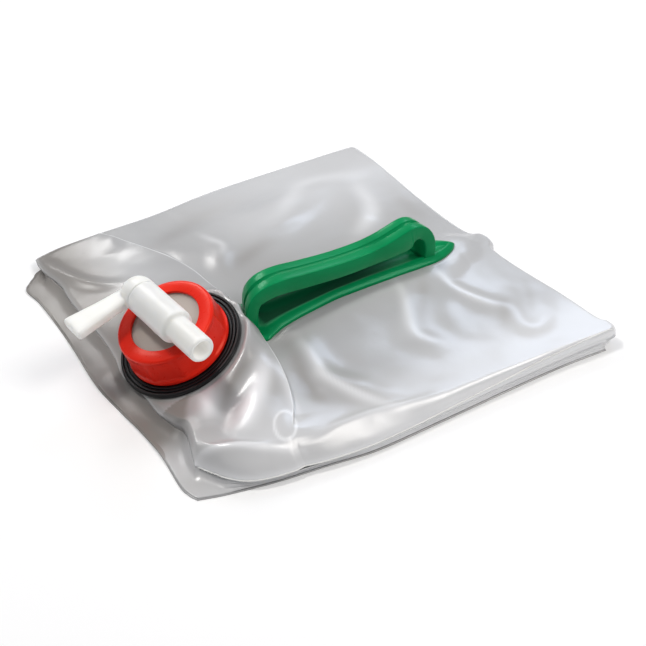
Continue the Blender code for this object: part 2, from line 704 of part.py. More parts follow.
def make_tap_plug(parent):
    """Turning plug: a domed head with the lever, and a hollow shank whose side port meets the
    neck's port when the lever stands up."""
    axis = tap_frame("plug_frame", parent)
    shank_r, shank_end = PLUG_SEAT_R - REST_GAP, PLUG_SEAT_TO - REST_GAP
    head_from, dome_from = BARREL_FROM - REST_GAP, HEAD_TIP + BARREL_R
    profile = [(0.0, shank_end), (shank_r, shank_end), (shank_r, head_from)]
    profile += [(BARREL_R - HEAD_EDGE, head_from), (BARREL_R, head_from - HEAD_EDGE)]
    for step in range(DOME_STEPS + 1):
        turn = 0.5 * math.pi * step / DOME_STEPS
        profile.append((BARREL_R * math.cos(turn), dome_from - BARREL_R * math.sin(turn)))
    profile[-1] = (0.0, HEAD_TIP)
    plug = turned("tap_plug", profile, axis, NATURAL, steps=SMALL_STEPS, closed=False)
    hollow = cylinder(
        "plug_hollow", WATERWAY_R, PLUG_HOLLOW_FROM, shank_end + CUT_OVERRUN, axis, cutter=True)
    sideways = Matrix.Rotation(math.radians(-90.0), 4, "X")
    side_frame = make_frame("plug_port_frame", (0.0, 0.0, 0.0), sideways, axis)
    port = cylinder("plug_port", PORT_R, 0.0, PLUG_SEAT_R + CUT_OVERRUN, side_frame, cutter=True)
    boolean(plug, make_lever(axis), "UNION")
    boolean(plug, hollow, "DIFFERENCE")
    boolean(plug, port, "DIFFERENCE")
    return plug


def make_lever(axis):
    """Flared bar that leaves the side of the plug's head."""
    frame = make_frame("lever_frame", (0.0, 0.0, LEVER_AT), Matrix.Rotation(-LEVER_RISE, 4, "Z"), axis)
    bm = bmesh.new()
    bmesh.ops.create_cube(bm, size=1.0)
    for vert in bm.verts:
        at_end = vert.co.y < 0.0
        width = LEVER_END_WIDTH if at_end else LEVER_ROOT_WIDTH
        vert.co.x *= LEVER_THICKNESS
        vert.co.y = -LEVER_LENGTH if at_end else -LEVER_ROOT_SINK
        vert.co.z *= width
    lever = finished_mesh("plug_lever", bm, None, frame, cutter=True)
    edge = lever.modifiers.new("edges", "BEVEL")
    edge.width = LEVER_EDGE
    edge.segments = 3
    return lever


# Carry handle: a leaf-shaped base, bent to its bed, and a thick grip that arches over it

def base_half_width(share):
    share = min(max(share, 0.0), 1.0)
    return max(curve_value(BASE_OUTLINE_SHARES, share), BASE_OUTLINE_SHARES[-1][1]) * BASE_HALF_WIDTH


def curve_value(shares, at):
    """Read a table of (place, value) shares along a smooth curve through its rows."""
    rows = len(shares) - 1
    low = next((i for i in range(rows) if at <= shares[i + 1][0]), rows - 1)
    (x0, _), (x1, _) = shares[low], shares[low + 1]
    return curve_point([(value,) for _, value in shares], (low + (at - x0) / (x1 - x0)) / rows)[0]


def base_sides(bm, inset_share, height):
    """Both sides of the base's outline, drawn in by a share of its half width."""
    half = 0.5 * HANDLE_LENGTH
    near, far = [], []
    for station in range(BASE_STATIONS + 1):
        share = 0.5 - 0.5 * math.cos(math.pi * station / BASE_STATIONS)
        width = base_half_width(share) * (1.0 - inset_share)
        x = (2.0 * share - 1.0) * (half - 0.5 * inset_share * BASE_HALF_WIDTH)
        z = height + bed_rise(0.5 + 0.5 * x / half)
        near.append(bm.verts.new((x, -width, z)))
        far.append(bm.verts.new((x, width, z)))
    return near, far


def make_base_mesh(bm):
    sections = [base_sides(bm, inset, up * BASE_HEIGHT) for inset, up in BASE_SECTION_SHARES]
    bridge(bm, [near + far[::-1] for near, far in sections])
    bridge(bm, sections[0], closed_rings=False)
    bridge(bm, sections[-1], closed_rings=False)


def grip_section(width, thickness):
    """Section of the grip, across and outwards: round edges and a shallow groove that parts
    its outer face into two ridges."""
    across, edge = 0.5 * width, GRIP_EDGE
    half = [
        (across - edge, -thickness), (across, -thickness + edge), (across, -edge),
        (across - 0.3 * edge, -0.3 * edge), (across - edge, 0.0), (GRIP_GROOVE, 0.0),
    ]
    return half + [(0.0, -GRIP_GROOVE)] + [(-a, b) for a, b in reversed(half)]


def make_grip_mesh(bm):
    half = 0.5 * HANDLE_LENGTH
    path = [(along * half, up * GRIP_RISE, thick * GRIP_THICKNESS) for along, up, thick in GRIP_PATH_SHARES]
    rings = []
    for station in range(GRIP_STATIONS + 1):
        share = station / GRIP_STATIONS
        x, z, thickness = curve_point(path, share)
        ahead, behind = (curve_point(path, min(max(share + d, 0.0), 1.0)) for d in TANGENT_SHARES)
        tangent = Vector((ahead[0] - behind[0], ahead[1] - behind[1])).normalized()
        ring = []
        for across, out in grip_section(GRIP_WIDTH * three_way(GRIP_WIDTH_SHARES, share), thickness):
            ring.append(bm.verts.new((x - out * tangent.y, across, z + out * tangent.x)))
        rings.append(ring)
    bridge(bm, rings)
    bm.faces.new(rings[0])
    bm.faces.new(rings[-1])


def three_way(shares, at):
    """Run smoothly from the first value to the middle one and on to the last."""
    first, middle, last = shares
    if at < 0.5:
        return lerp(first, middle, smooth(2.0 * at))
    return lerp(middle, last, smooth(2.0 * at - 1.0))


def make_handle():
    line = Matrix.Rotation(LINE_TURN, 4, "Z")
    offset = line @ Vector((HANDLE_FROM_NECK, 0.0, 0.0))
    place_at = (NECK_X + offset.x, NECK_Y + offset.y, FOLD_HEIGHT + REST_GAP)
    frame = make_frame("handle_frame", place_at, line)
    base = bmesh.new()
    make_base_mesh(base)
    bmesh.ops.recalc_face_normals(base, faces=base.faces)
    handle = finished_mesh("carry_handle", base, GREEN, frame)
    grip = bmesh.new()
    make_grip_mesh(grip)
    bmesh.ops.recalc_face_normals(grip, faces=grip.faces)
    boolean(handle, finished_mesh("handle_grip", grip, None, frame, cutter=True), "UNION")
    return handle


make_bottom_panel()
make_top_panel()
make_gusset("front", GUSSET_INSET)
make_gusset("back", GUSSET_INSET)
make_gusset("far_end", GUSSET_INSET)
make_gusset("neck_end", TOP_SETBACK + GUSSET_INSET)
NECK_FRAME = make_frame("neck_frame", (NECK_X, NECK_Y, NECK_Z), NECK_TURN)
make_neck_fitting(NECK_FRAME)
make_washer(NECK_FRAME)
make_collar(NECK_FRAME)
make_tap_body(NECK_FRAME)
make_tap_plug(NECK_FRAME)
make_handle()
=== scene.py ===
"""Collapsible water carrier, folded flat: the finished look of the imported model, in metres."""

import math

import bmesh
import bpy
import numpy as np
from mathutils import Matrix, Vector


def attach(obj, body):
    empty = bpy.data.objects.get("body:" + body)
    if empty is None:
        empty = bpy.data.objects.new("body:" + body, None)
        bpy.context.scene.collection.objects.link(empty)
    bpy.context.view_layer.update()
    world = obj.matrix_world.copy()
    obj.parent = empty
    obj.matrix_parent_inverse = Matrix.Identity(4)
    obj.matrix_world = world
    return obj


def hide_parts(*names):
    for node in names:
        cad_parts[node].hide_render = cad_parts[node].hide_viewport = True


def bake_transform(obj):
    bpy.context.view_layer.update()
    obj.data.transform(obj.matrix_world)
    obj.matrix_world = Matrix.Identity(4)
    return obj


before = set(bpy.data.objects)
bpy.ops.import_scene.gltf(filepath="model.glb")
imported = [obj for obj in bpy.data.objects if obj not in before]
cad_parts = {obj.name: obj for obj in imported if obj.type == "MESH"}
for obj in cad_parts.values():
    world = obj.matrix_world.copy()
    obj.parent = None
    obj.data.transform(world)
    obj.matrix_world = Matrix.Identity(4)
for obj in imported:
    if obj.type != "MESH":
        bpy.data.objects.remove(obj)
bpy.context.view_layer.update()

MM = 0.001

# Table, light and camera: a plain white table under soft studio lamps. A wide lamp overhead
# and one behind give the film its streaks, and the camera stands where the photograph was taken.
TABLE_HALF = 0.9
CAMERA_AT = Vector((-0.2999, -0.4864, 0.4593))
CAMERA_AIM = Vector((0.0029, -0.0206, 0))
CAMERA_LENS = 70.8
TABLE_COLOUR = (0.88, 0.88, 0.88, 1)
TABLE_GLOW = 0.07
SKY_COLOUR = (0.93, 0.95, 1, 1)
SKY_LIGHT = 0.32
# Lamps: name, place, width, depth, watts, colour
LAMPS = (
    ("key_lamp", (-0.42, 0.42, 1.27), 0.2, 0.2, 7, (1, 0.985, 0.96)),
    ("back_lamp", (0.02, 1.22, 1.02), 0.5, 0.35, 5, (1, 0.99, 0.975)),
    ("window_lamp", (0.94, 0.66, 0.97), 0.56, 0.46, 3, (0.7, 0.81, 1)),
    ("front_lamp", (0.62, -0.66, 1.1), 0.6, 0.7, 9, (1, 0.965, 0.92)),
)


def linked(name, data):
    """A new object in the scene for a mesh, a lamp's light or a camera."""
    thing = bpy.data.objects.new(name, data)
    bpy.context.scene.collection.objects.link(thing)
    return thing


def feed(tree, socket, value):
    """Set a socket to a value, or link it to the socket that makes its value."""
    if isinstance(value, bpy.types.NodeSocket):
        tree.links.new(value, socket)
    else:
        socket.default_value = value


def add_node(tree, kind, inputs=None, **settings):
    """A node with its settings, and with what its input sockets are fed."""
    node = tree.nodes.new(kind)
    for key, value in settings.items():
        setattr(node, key, value)
    for name, value in (inputs or {}).items():
        feed(tree, node.inputs[name], value)
    return node


def node_tree(owner):
    """An empty shader tree, and the socket that its surface goes into."""
    owner.use_nodes = True
    owner.node_tree.nodes.clear()
    kind = "World" if isinstance(owner, bpy.types.World) else "Material"
    return owner.node_tree, add_node(owner.node_tree, "ShaderNodeOutput" + kind).inputs["Surface"]


def make_table():
    mesh = bpy.data.meshes.new("table")
    corners = [(x * TABLE_HALF, y * TABLE_HALF, 0) for x, y in ((-1, -1), (1, -1), (1, 1), (-1, 1))]
    mesh.from_pydata(corners, [], [(0, 1, 2, 3)])
    material = bpy.data.materials.new("white_table")
    tree, surface = node_tree(material)
    rays = add_node(tree, "ShaderNodeLightPath").outputs
    lift = add_node(tree, "ShaderNodeMath", {0: rays["Is Camera Ray"], 1: TABLE_GLOW}, operation="MULTIPLY")
    top = add_node(tree, "ShaderNodeBsdfDiffuse", {"Color": TABLE_COLOUR})
    glow = add_node(tree, "ShaderNodeEmission", {"Strength": lift.outputs[0]})
    both = add_node(tree, "ShaderNodeAddShader", {0: top.outputs[0], 1: glow.outputs[0]})
    tree.links.new(both.outputs[0], surface)
    mesh.materials.append(material)
    linked("table", mesh)


def make_sky():
    """Soft light from all round, which the camera sees as plain white."""
    world = bpy.data.worlds.new("studio")
    bpy.context.scene.world = world
    tree, surface = node_tree(world)
    room = add_node(tree, "ShaderNodeBackground", {"Color": SKY_COLOUR, "Strength": SKY_LIGHT})
    white = add_node(tree, "ShaderNodeBackground", {"Color": (1, 1, 1, 1)})
    rays = add_node(tree, "ShaderNodeLightPath").outputs
    straight = {0: rays["Is Camera Ray"], 1: rays["Is Transmission Ray"]}
    seen = add_node(tree, "ShaderNodeMath", straight, operation="MAXIMUM")
    mix = add_node(tree, "ShaderNodeMixShader", {0: seen.outputs[0], 1: room.outputs[0], 2: white.outputs[0]})
    tree.links.new(mix.outputs[0], surface)


def make_lamp(name, at, width, depth, watts, colour):
    light = bpy.data.lights.new(name, "AREA")
    light.shape = "RECTANGLE"
    light.size = width
    light.size_y = depth
    light.energy = watts
    light.color = colour
    lamp = linked(name, light)
    lamp.location = at
    lamp.rotation_euler = (-Vector(at)).to_track_quat("-Z", "Y").to_euler()


def make_camera():
    camera = linked("camera", bpy.data.cameras.new("camera"))
    camera.data.lens = CAMERA_LENS
    camera.data.clip_start = 0.01
    camera.location = CAMERA_AT
    camera.rotation_euler = (CAMERA_AIM - CAMERA_AT).to_track_quat("-Z", "Y").to_euler()
    bpy.context.scene.camera = camera


make_table()
make_sky()
for lamp_facts in LAMPS:
    make_lamp(*lamp_facts)
make_camera()
bpy.context.scene.view_settings.view_transform = "Standard"


# Film: the bag is welded from clear soft film half a millimetre thick. Handled film is a
# little cloudy, glossy in patches, and full of soft creases. Places on it are in millimetres.
FILM_WALL = 0.5 * MM
CLOUDY = (0.428, 0.424, 0.422, 1)
CLEARER = (0.512, 0.516, 0.525, 1)
# Pale colour of whitened creases and welds, and of painted highlights and sheen
PALE_CREASE_AND_HIGHLIGHT = (0.9, 0.905, 0.92, 1)
# Painted shade: darker film colours where shade is painted on it, with its gloss and coat in the light and in
# that shade
DARK_CLOUDY = (0.26, 0.244, 0.228, 1)
DARK_CLEARER = (0.335, 0.32, 0.303, 1)
FILM_GLOSS = (1, 0.3)
FILM_COAT = (0.4, 0.08)


class Finish:
    """One material, built up from a Principled shader and textures on Object coordinates."""

    def __init__(self, name, **values):
        self.material = bpy.data.materials.new(name)
        self.tree, surface = node_tree(self.material)
        self.shader = self.add("ShaderNodeBsdfPrincipled")
        self.place = self.add("ShaderNodeTexCoord").outputs["Object"]
        self.tree.links.new(self.shader.outputs[0], surface)
        self.set(**values)

    def add(self, kind, inputs=None, **settings):
        return add_node(self.tree, kind, inputs, **settings)

    def set(self, **values):
        """Feed the shader's sockets, whose names have underscores for spaces here."""
        for name, value in values.items():
            feed(self.tree, self.shader.inputs[name.replace("_", " ")], value)

    def attribute(self, name):
        return self.add("ShaderNodeAttribute", attribute_name=name).outputs["Fac"]

    def noise(self, size, detail, scale=(1, 1, 1)):
        """Cloudy pattern of blotches about that size in metres, drawn out by a scale."""
        drawn = self.add("ShaderNodeMapping", {"Scale": scale, "Vector": self.place}).outputs[0]
        texture = {"Scale": 1 / size, "Detail": detail, "Vector": drawn}
        return self.add("ShaderNodeTexNoise", texture).outputs["Fac"]

    def band(self, value, low, high, to_low=0, to_high=1):
        """Map a value from one range to another, held at its ends."""
        ends = {"From Min": low, "From Max": high, "To Min": to_low, "To Max": to_high}
        return self.add("ShaderNodeMapRange", {"Value": value, **ends}).outputs[0]

    def mix(self, share, first, second):
        """Blend two colours, or sockets that make them, by a share."""
        return self.add("ShaderNodeMix", {0: share, 6: first, 7: second}, data_type="RGBA").outputs[2]

    def tint(self, share, colour):
        """Turn the colour that it has into another one by a share."""
        base = self.shader.inputs["Base Color"].links[0].from_socket
        self.set(Base_Color=self.mix(share, base, colour))

    def bump(self, *heights):
        """Chain bumps of (height socket, depth in metres, strength)."""
        chain = {}
        for height, depth, strength in heights:
            facts = {"Height": height, "Distance": depth, "Strength": strength, **chain}
            chain = {"Normal": self.add("ShaderNodeBump", facts).outputs[0]}
        self.set(**chain)


def film_finish(name, alpha):
    """Clear film: cloudy in patches, darker where shade is painted, and whitened at creases and welds and
    where highlights and sheen are painted.
    """
    finish = Finish(name, IOR=1.46, Alpha=alpha, Coat_Roughness=0.2, Roughness=0.27)
    patches = finish.band(finish.noise(90 * MM, 1), 0.38, 0.62)
    # The shade attribute is painted shade: it darkens the colours and dulls the gloss and coat
    shaded = finish.attribute("shade")
    light, dark = finish.mix(patches, CLOUDY, CLEARER), finish.mix(patches, DARK_CLOUDY, DARK_CLEARER)
    clouds = finish.mix(shaded, light, dark)
    finish.set(Base_Color=finish.mix(finish.attribute("crease_and_highlight"), clouds, PALE_CREASE_AND_HIGHLIGHT))
    finish.set(Specular_IOR_Level=finish.band(shaded, 0, 1, *FILM_GLOSS))
    finish.set(Coat_Weight=finish.band(shaded, 0, 1, *FILM_COAT))
    waves, dents, fine = finish.noise(60 * MM, 1), finish.noise(20 * MM, 1), finish.noise(5 * MM, 2)
    finish.bump((waves, 10 * MM, 0.7), (dents, 1.6 * MM, 0.6), (fine, 0.14 * MM, 0.4))
    return finish.material


FILM = film_finish("clear_film_top", 0.84)
LOWER_FILM = film_finish("clear_film_lower", 0.8)


def along(marks, shares):
    """Points on a smooth curve through marks, at shares of its length."""
    marks = np.array(marks, float)
    ends = np.vstack([2 * marks[:1] - marks[1:2], marks, 2 * marks[-1:] - marks[-2:-1]])
    t = np.linspace(0, 1, 24, endpoint=False)[:, None]
    spans = []
    for i in range(len(marks) - 1):
        a, b, c, d = ends[i:i + 4]
        bent = (2 * a - 5 * b + 4 * c - d) * t**2 + (3 * b - a - 3 * c + d) * t**3
        spans.append(b + 0.5 * ((c - a) * t + bent))
    curve = np.vstack(spans + [marks[-1:]])
    reach = np.concatenate([[0], np.cumsum(np.linalg.norm(np.diff(curve, axis=0), axis=1))])
    at = np.asarray(shares) * reach[-1]
    return np.stack([np.interp(at, reach, curve[:, k]) for k in range(curve.shape[1])], axis=1)


def crowded(count, start, end):
    """Rising shares from 0 to 1, closer together at the start and at the end."""
    t = np.linspace(0, 1, 400)
    density = 1 + start * np.exp(-t / 0.06) + end * np.exp(-(1 - t) / 0.06)
    total = np.concatenate([[0], np.cumsum(0.5 * (density[1:] + density[:-1]))])
    return np.interp(np.linspace(0, total[-1], count), total, t)


def patch(front, back, left, right, across, up):
    """Fill four edge curves with a grid of points, in rows from the front to the back."""
    f, b = along(front, across), along(back, across)
    l, r = along(left, up), along(right, up)
    u, v = across[None, :, None], up[:, None, None]
    corners = (1 - u) * (1 - v) * f[0] + u * (1 - v) * f[-1] + (1 - u) * v * b[0] + u * v * b[-1]
    return (1 - v) * f[None] + v * b[None] + (1 - u) * l[:, None] + u * r[:, None] - corners


def through(marks):
    """Smooth height over the plan through marks (x, y, height), as a thin plate bends."""
    marks = np.array(marks, float)
    x, y, z = marks.T

    def kernel(px, py):
        square = (px[..., None] - x) ** 2 + (py[..., None] - y) ** 2 + 1e-9
        return 0.5 * square * np.log(square)

    count = len(marks)
    system = np.zeros((count + 3, count + 3))
    system[:count, :count] = kernel(x, y) + 2 * np.eye(count)
    system[:count, count:] = np.stack([np.ones(count), x, y], axis=1)
    system[count:, :count] = system[:count, count:].T
    answer = np.linalg.solve(system, np.concatenate([z, np.zeros(3)]))
    level, along_x, along_y = answer[count:]
    return lambda px, py: kernel(px, py) @ answer[:count] + level + along_x * px + along_y * py


def fold(x, y, marks, height, left, right):
    """Height of a soft fold along marks: it falls off over a width on each side of them and
    fades at both ends."""
    path = along(marks, np.linspace(0, 1, 36))
    best = np.full(x.shape, np.inf)
    signed, place = np.zeros(x.shape), np.zeros(x.shape)
    for i, (a, b) in enumerate(zip(path, path[1:])):
        side = b - a
        share = np.clip(((x - a[0]) * side[0] + (y - a[1]) * side[1]) / side.dot(side), 0, 1)
        dx, dy = x - a[0] - share * side[0], y - a[1] - share * side[1]
        distance = np.hypot(dx, dy)
        nearer = distance < best
        best = np.where(nearer, distance, best)
        signed = np.where(nearer, side[0] * dy - side[1] * dx, signed)
        place = np.where(nearer, (i + share) / (len(path) - 1), place)
    width = np.where(signed > 0, left, right)
    return height * np.sin(np.pi * np.clip(place, 0.03, 0.97)) ** 0.8 * np.exp(-((best / width) ** 2))


def ramp(value, low, high):
    """0 below low and 1 above high, rising straight between them."""
    return np.clip((value - low) / (high - low), 0, 1)


def smooth(value, low, high):
    """0 below low and 1 above high, with a soft step between them."""
    share = ramp(value, low, high)
    return share * share * (3 - 2 * share)


def rolled(distance, width, power):
    """0 at an edge and 1 from a width on, as film rolls over a fold."""
    inside = 1 - ramp(distance, 0, width)
    return (1 - inside**power) ** (1 / power)


def softened(height, times):
    """Even out heights over a grid, as stiff film does, leaving its edges alone."""
    for _ in range(times):
        around = height[:-2, 1:-1] + height[2:, 1:-1] + height[1:-1, :-2] + height[1:-1, 2:]
        height = height.copy()
        height[1:-1, 1:-1] = 0.5 * height[1:-1, 1:-1] + 0.125 * around
    return height


def neck_end_shade(points):
    """How much painted shade each place gets at the end of the packet beside the neck."""
    return smooth(-points[..., 0], 75, 90) * smooth(points[..., 1], -76, -54)


def mark(mesh, label, values):
    """Give each vertex a number that the material reads by this label."""
    mesh.attributes.new(label, "FLOAT", "POINT").data.foreach_set("value", np.ravel(values))


def film_mesh(name, points, material, shade, creases_and_highlights=None, ring=False, hole=None):
    """A sheet of film through a grid of points in millimetres, its upper face as drawn."""
    rows, columns = points.shape[:2]
    index = np.arange(rows * columns).reshape(rows, columns)
    after = np.roll(index, -1, axis=1) if ring else index[:, 1:]
    here = index if ring else index[:, :-1]
    quads = np.stack([here[:-1], after[:-1], after[1:], here[1:]], axis=-1).reshape(-1, 4)
    mesh = bpy.data.meshes.new(name)
    mesh.from_pydata((points.reshape(-1, 3) * MM).tolist(), [], quads.tolist())
    # Painted shade, and crease whitening with painted highlights, stored per vertex for the material
    mark(mesh, "shade", shade)
    if creases_and_highlights is not None:
        mark(mesh, "crease_and_highlight", creases_and_highlights)
    if hole:
        hole(mesh)
    mesh.shade_smooth()
    mesh.materials.append(material)
    film = linked(name, mesh)
    wall = film.modifiers.new("film_wall", "SOLIDIFY")
    wall.thickness = FILM_WALL
    wall.offset = -1
    return film


def distances(points, axis, backwards=False):
    """Plan distance of each grid point from the first or last one of its row or column."""
    steps = np.linalg.norm(np.diff(points[..., :2], axis=axis), axis=-1)
    total = np.insert(np.cumsum(steps, axis=axis), 0, 0, axis=axis)
    return total.take([-1], axis=axis) - total if backwards else total


# Bottom sheet: the flat panel that the packet lies on. Its edge shows at the neck end, where
# it sticks out in shallow waves past the folded walls.
BOTTOM_NECK_END = (
    (-122, -101), (-124, -96), (-125, -88), (-123, -64), (-124, -43), (-126, -25), (-128, 1), (-126, 32),
    (-125, 54), (-125, 82), (-127, 96), (-125, 101),
)
BOTTOM_FRONT = (
    (-122, -101), (-107, -106), (-82, -112), (-55, -116.5), (-29, -121), (10, -122), (55, -122.5),
    (91, -123.5), (121, -126),
)
BOTTOM_BACK = ((-125, 101), (-119, 107), (-108, 113), (-60, 114), (0, 116), (60, 117), (119, 118))
BOTTOM_FAR_END = ((121, -126), (121, -60), (120, 0), (120, 60), (119, 118))
BOTTOM_LIFT = 0.5
WAVE_HEIGHT = 0.9

rows, columns = crowded(96, 2, 2), crowded(96, 3, 1)
bottom = patch(BOTTOM_FRONT, BOTTOM_BACK, BOTTOM_NECK_END, BOTTOM_FAR_END, columns, rows)
bottom_y = bottom[..., 1]
wave = np.clip(np.sin(bottom_y / 11) + 0.6 * np.sin(bottom_y / 5.3 + 1) + 0.9, 0, None)
wave *= np.exp(-distances(bottom, 1) / 4) * smooth(bottom_y, -100, -84)
lift = BOTTOM_LIFT + WAVE_HEIGHT * (0.02 + 0.5 * wave)
# Painted shade towards the neck end
bottom_sheet = film_mesh("bottom_sheet", np.dstack([bottom, lift]), LOWER_FILM, neck_end_shade(bottom))
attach(bottom_sheet, "bag_base")
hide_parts("bottom_panel")


# Top sheet: the panel that carries the neck and the handle. It is pulled up by the tilted
# neck, folds over itself in one pleat across the packet, and rolls down at all four edges.
REST_GAP = 0.3
RIM = 4.5
NECK_AT = Vector((-83, -13, 19.6))
NECK_TILT = math.radians(22)
LINE_TURN = math.radians(-2.5)
NECK_TURN = Matrix.Rotation(LINE_TURN, 4, "Z") @ Matrix.Rotation(-NECK_TILT, 4, "Y")
NECK_FRAME = Matrix.Translation(NECK_AT * MM) @ NECK_TURN
NECK_AXIS = NECK_TURN.to_3x3() @ Vector((0, 0, 1))
FLANGE_EDGE = 34.5
FLANGE_WALL = 1.4
SEAT = NECK_AT - (FLANGE_WALL + REST_GAP) * NECK_AXIS
NECK_HOLE = 21.6
FOLD_HEIGHT = 14.8
HANDLE_FROM_NECK = 108
HANDLE_HALF = 70
BED_RISE = 4.2
BED = ((0, -0.45), (0.4, 0.72), (0.55, 0.93), (0.68, 1), (0.8, 0.97), (1, 0.78))
BED_FADE = 17
# Leaf outline of the handle's base: place from the neck end to the far tip, and half width
LEAF = (
    (0, 0.48), (0.02, 0.83), (0.047, 1), (0.08, 0.9), (0.13, 0.74), (0.173, 0.67), (0.23, 0.61),
    (0.316, 0.56), (0.4, 0.53), (0.546, 0.57), (0.7, 0.6), (0.83, 0.61), (0.9, 0.53), (0.95, 0.36),
    (0.98, 0.2), (1, 0.03),
)
LEAF_HALF_WIDTH = 16
TOP_NECK_END = (
    (-114, -84), (-111, -75), (-108, -66), (-107, -59), (-109, -54), (-110, -50), (-112, -40), (-112, -23),
    (-114, -10), (-114, -1), (-111, 13), (-110, 32), (-111, 57), (-111, 73), (-110, 86), (-113, 104),
    (-112, 118),
)
TOP_FAR_END = (
    (121, -124), (130, -123), (131, -117), (128, -110), (126, -82), (120, -33), (125, -22), (125, -14),
    (117, -5), (117, 42), (119, 90), (118, 119),
)
TOP_FRONT = (
    (-114, -84), (-109, -93), (-104, -101), (-96, -108), (-85, -112), (-74, -114), (-51, -118), (-29, -120.5),
    (6, -121), (56, -121.5), (95, -122.5), (121, -124),
)
TOP_BACK = ((-112, 118), (-95, 120), (-72, 119), (-35, 118), (3, 121), (40, 121), (78, 120), (118, 119))
# Rows and columns of the sheet: before the pleat, beyond it, and down its fall
TOP_ROWS = 190
NECK_COLUMNS = 60
HANDLE_COLUMNS = 122
PLEAT_COLUMNS = 8
# The pleat: its place, and the height of its crest and of the film beyond it
PLEAT = (
    (-71, -114, 13, 12.8), (-71, -107, 14.8, 14.3), (-65, -97, 16.4, 15.2), (-57, -85, 17.8, 15.2),
    (-51, -70, 19.8, 14.6), (-47, -52, 21.5, 14.4), (-45.5, -36, 23.5, 14.7), (-46, -20, 24.5, 14.8),
    (-45.5, -5, 23.5, 14.8), (-44, 17, 20.5, 14.6), (-44, 42, 16.5, 13.8), (-48, 66, 13.5, 12.6),
    (-57, 89, 11.5, 11), (-66, 106, 10.5, 10.2), (-72, 119, 9.5, 9.3),
)
# Heights of the film on both sides of it
NECK_SIDE = (
    (-112, -84, 15), (-104, -91, 16.5), (-92, -96, 16.8), (-80, -101, 16.2), (-98, -72, 15), (-99, -60, 14.5),
    (-90, -80, 16), (-85, -66, 16), (-113, -40, 6), (-113, 0, 5), (-111, 40, 5.5), (-111, 80, 6.5),
    (-112, 116, 7), (-95, 60, 8), (-90, 100, 8.5), (-72, 80, 10.5), (-80, 42, 12.5), (-62, 52, 15),
    (-62, -70, 19), (-75, -88, 18),
)
HANDLE_SIDE = (
    (-43, -104, 14), (-13, -109, 13), (25, -113, 12.8), (65, -112, 12.8), (97, -113, 12.8), (124, -114, 12.5),
    (0, -80, 12.8), (50, -85, 12.6), (100, -80, 12.5), (20, -58, 13.4), (70, -52, 13.6), (112, -50, 12),
    (0, -30, 16.4), (50, -33, 17.3), (-30, -33, 14.6), (0, 2, 15.6), (50, 0, 16.4), (92, -16, 17.2),
    (118, -15, 12), (0, 30, 13.8), (50, 30, 13.8), (100, 20, 12.2), (0, 70, 12), (60, 70, 11.5),
    (110, 60, 10), (0, 105, 10.5), (60, 105, 10), (110, 105, 9), (-30, -60, 13.5), (-30, 6, 14.6),
    (-30, 40, 13.8), (-30, 75, 12), (-40, 108, 10.2), (-30, -85, 13.5),
)
# Folds: marks, height, and width to the left and to the right of the marks
NECK_FOLDS = (
    (((-49, -24), (-53, -36), (-62, -47), (-74, -56), (-84, -62)), 2, 4, 5.5),
    (((-52, -46), (-58, -58), (-66, -68), (-78, -79), (-94, -88)), 2.9, 8, 7),
    (((-86, -50), (-90, -58), (-95, -66), (-98, -74)), 1.6, 5.5, 5.5),
    (((-109, 114), (-107, 101), (-104, 90), (-99, 79), (-90, 68), (-78, 60)), 2.4, 3.5, 4),
    (((-64, 112), (-69, 101), (-73, 90)), 1.2, 5, 7),
    (
        ((-115, -83), (-107, -87), (-101, -90), (-93.5, -94), (-87.5, -98), (-81, -102), (-72, -107)),
        1.6, 2.4, 4,
    ),
)
HANDLE_FOLDS = (
    (((-24, -33), (-26, -48), (-29, -66), (-24, -80), (-15, -93), (-5, -110)), 2.8, 7, 8),
    (((44, -30), (43, -44), (36, -58), (31, -68), (35, -80), (46, -94)), 2.3, 6, 8),
    (((68, -38), (64, -54), (57, -70), (52, -90)), 1.6, 6, 7),
    (((68, -27), (70, -40), (74, -54), (84, -72), (90, -82)), 2.8, 5, 7),
    (((22, -28), (24, -36), (27, -44)), 1.6, 3, 3.5),
    (((6, -28), (8, -38), (10, -50)), 0.9, 4, 4),
    (((104, -58), (96, -72), (89, -82), (86, -94), (90, -101), (100, -97), (113, -84)), 1.6, 5, 6),
    (((118, -16), (104, -19), (92, -24)), 2.4, 6, 7),
    (((84, 80), (80, 63), (76, 48), (72, 26)), 2.4, 9, 9),
    (((-18, 66), (4, 73), (24, 78), (48, 80), (76, 84), (96, 92)), 2.6, 9, 8),
    (((-12, 70), (-19, 57), (-25, 46), (-28, 34)), 2.4, 6, 7),
    (((-12, 70), (6, 62), (22, 61), (48, 66), (80, 77)), 1.8, 6, 7),
    (((-26, 60), (-40, 66), (-54, 76)), 1, 7, 7),
    (((-50, 98), (-30, 94), (-9, 94), (16, 99), (50, 102)), -1.4, 8, 8),
    (((4, 44), (26, 47), (48, 52)), -1.2, 8, 8),
    (((-34, -56), (-38, -72), (-44, -88)), -1.5, 6, 6),
    (((-68, -108), (-56, -109.5), (-44, -106.5), (-25, -107), (-8, -111.5), (14, -114.5)), 1.5, 2.4, 4),
)
# Plies of the folded front wall, seen through the band at the front
PLIES = 2.5
PLY_BAND = 9
PLY_DEPTH = 0.22
# The small dart where the pleat ends, and the direction that it points in
DART_X = -67.5
DART_Y = -94.5
DART_WAY = (0.54, 0.84)
DART_LENGTH = 9
DART_WIDTH = 5.5
DART_RISE = 0.8
# Crest line of the lens-shaped front fold, where a painted highlight runs
LENS_RIM = (
    (-117, -84), (-111.5, -84.5), (-107, -86.5), (-101, -90), (-93.5, -94.3), (-87.5, -98.3), (-81, -102),
    (-66, -110),
)
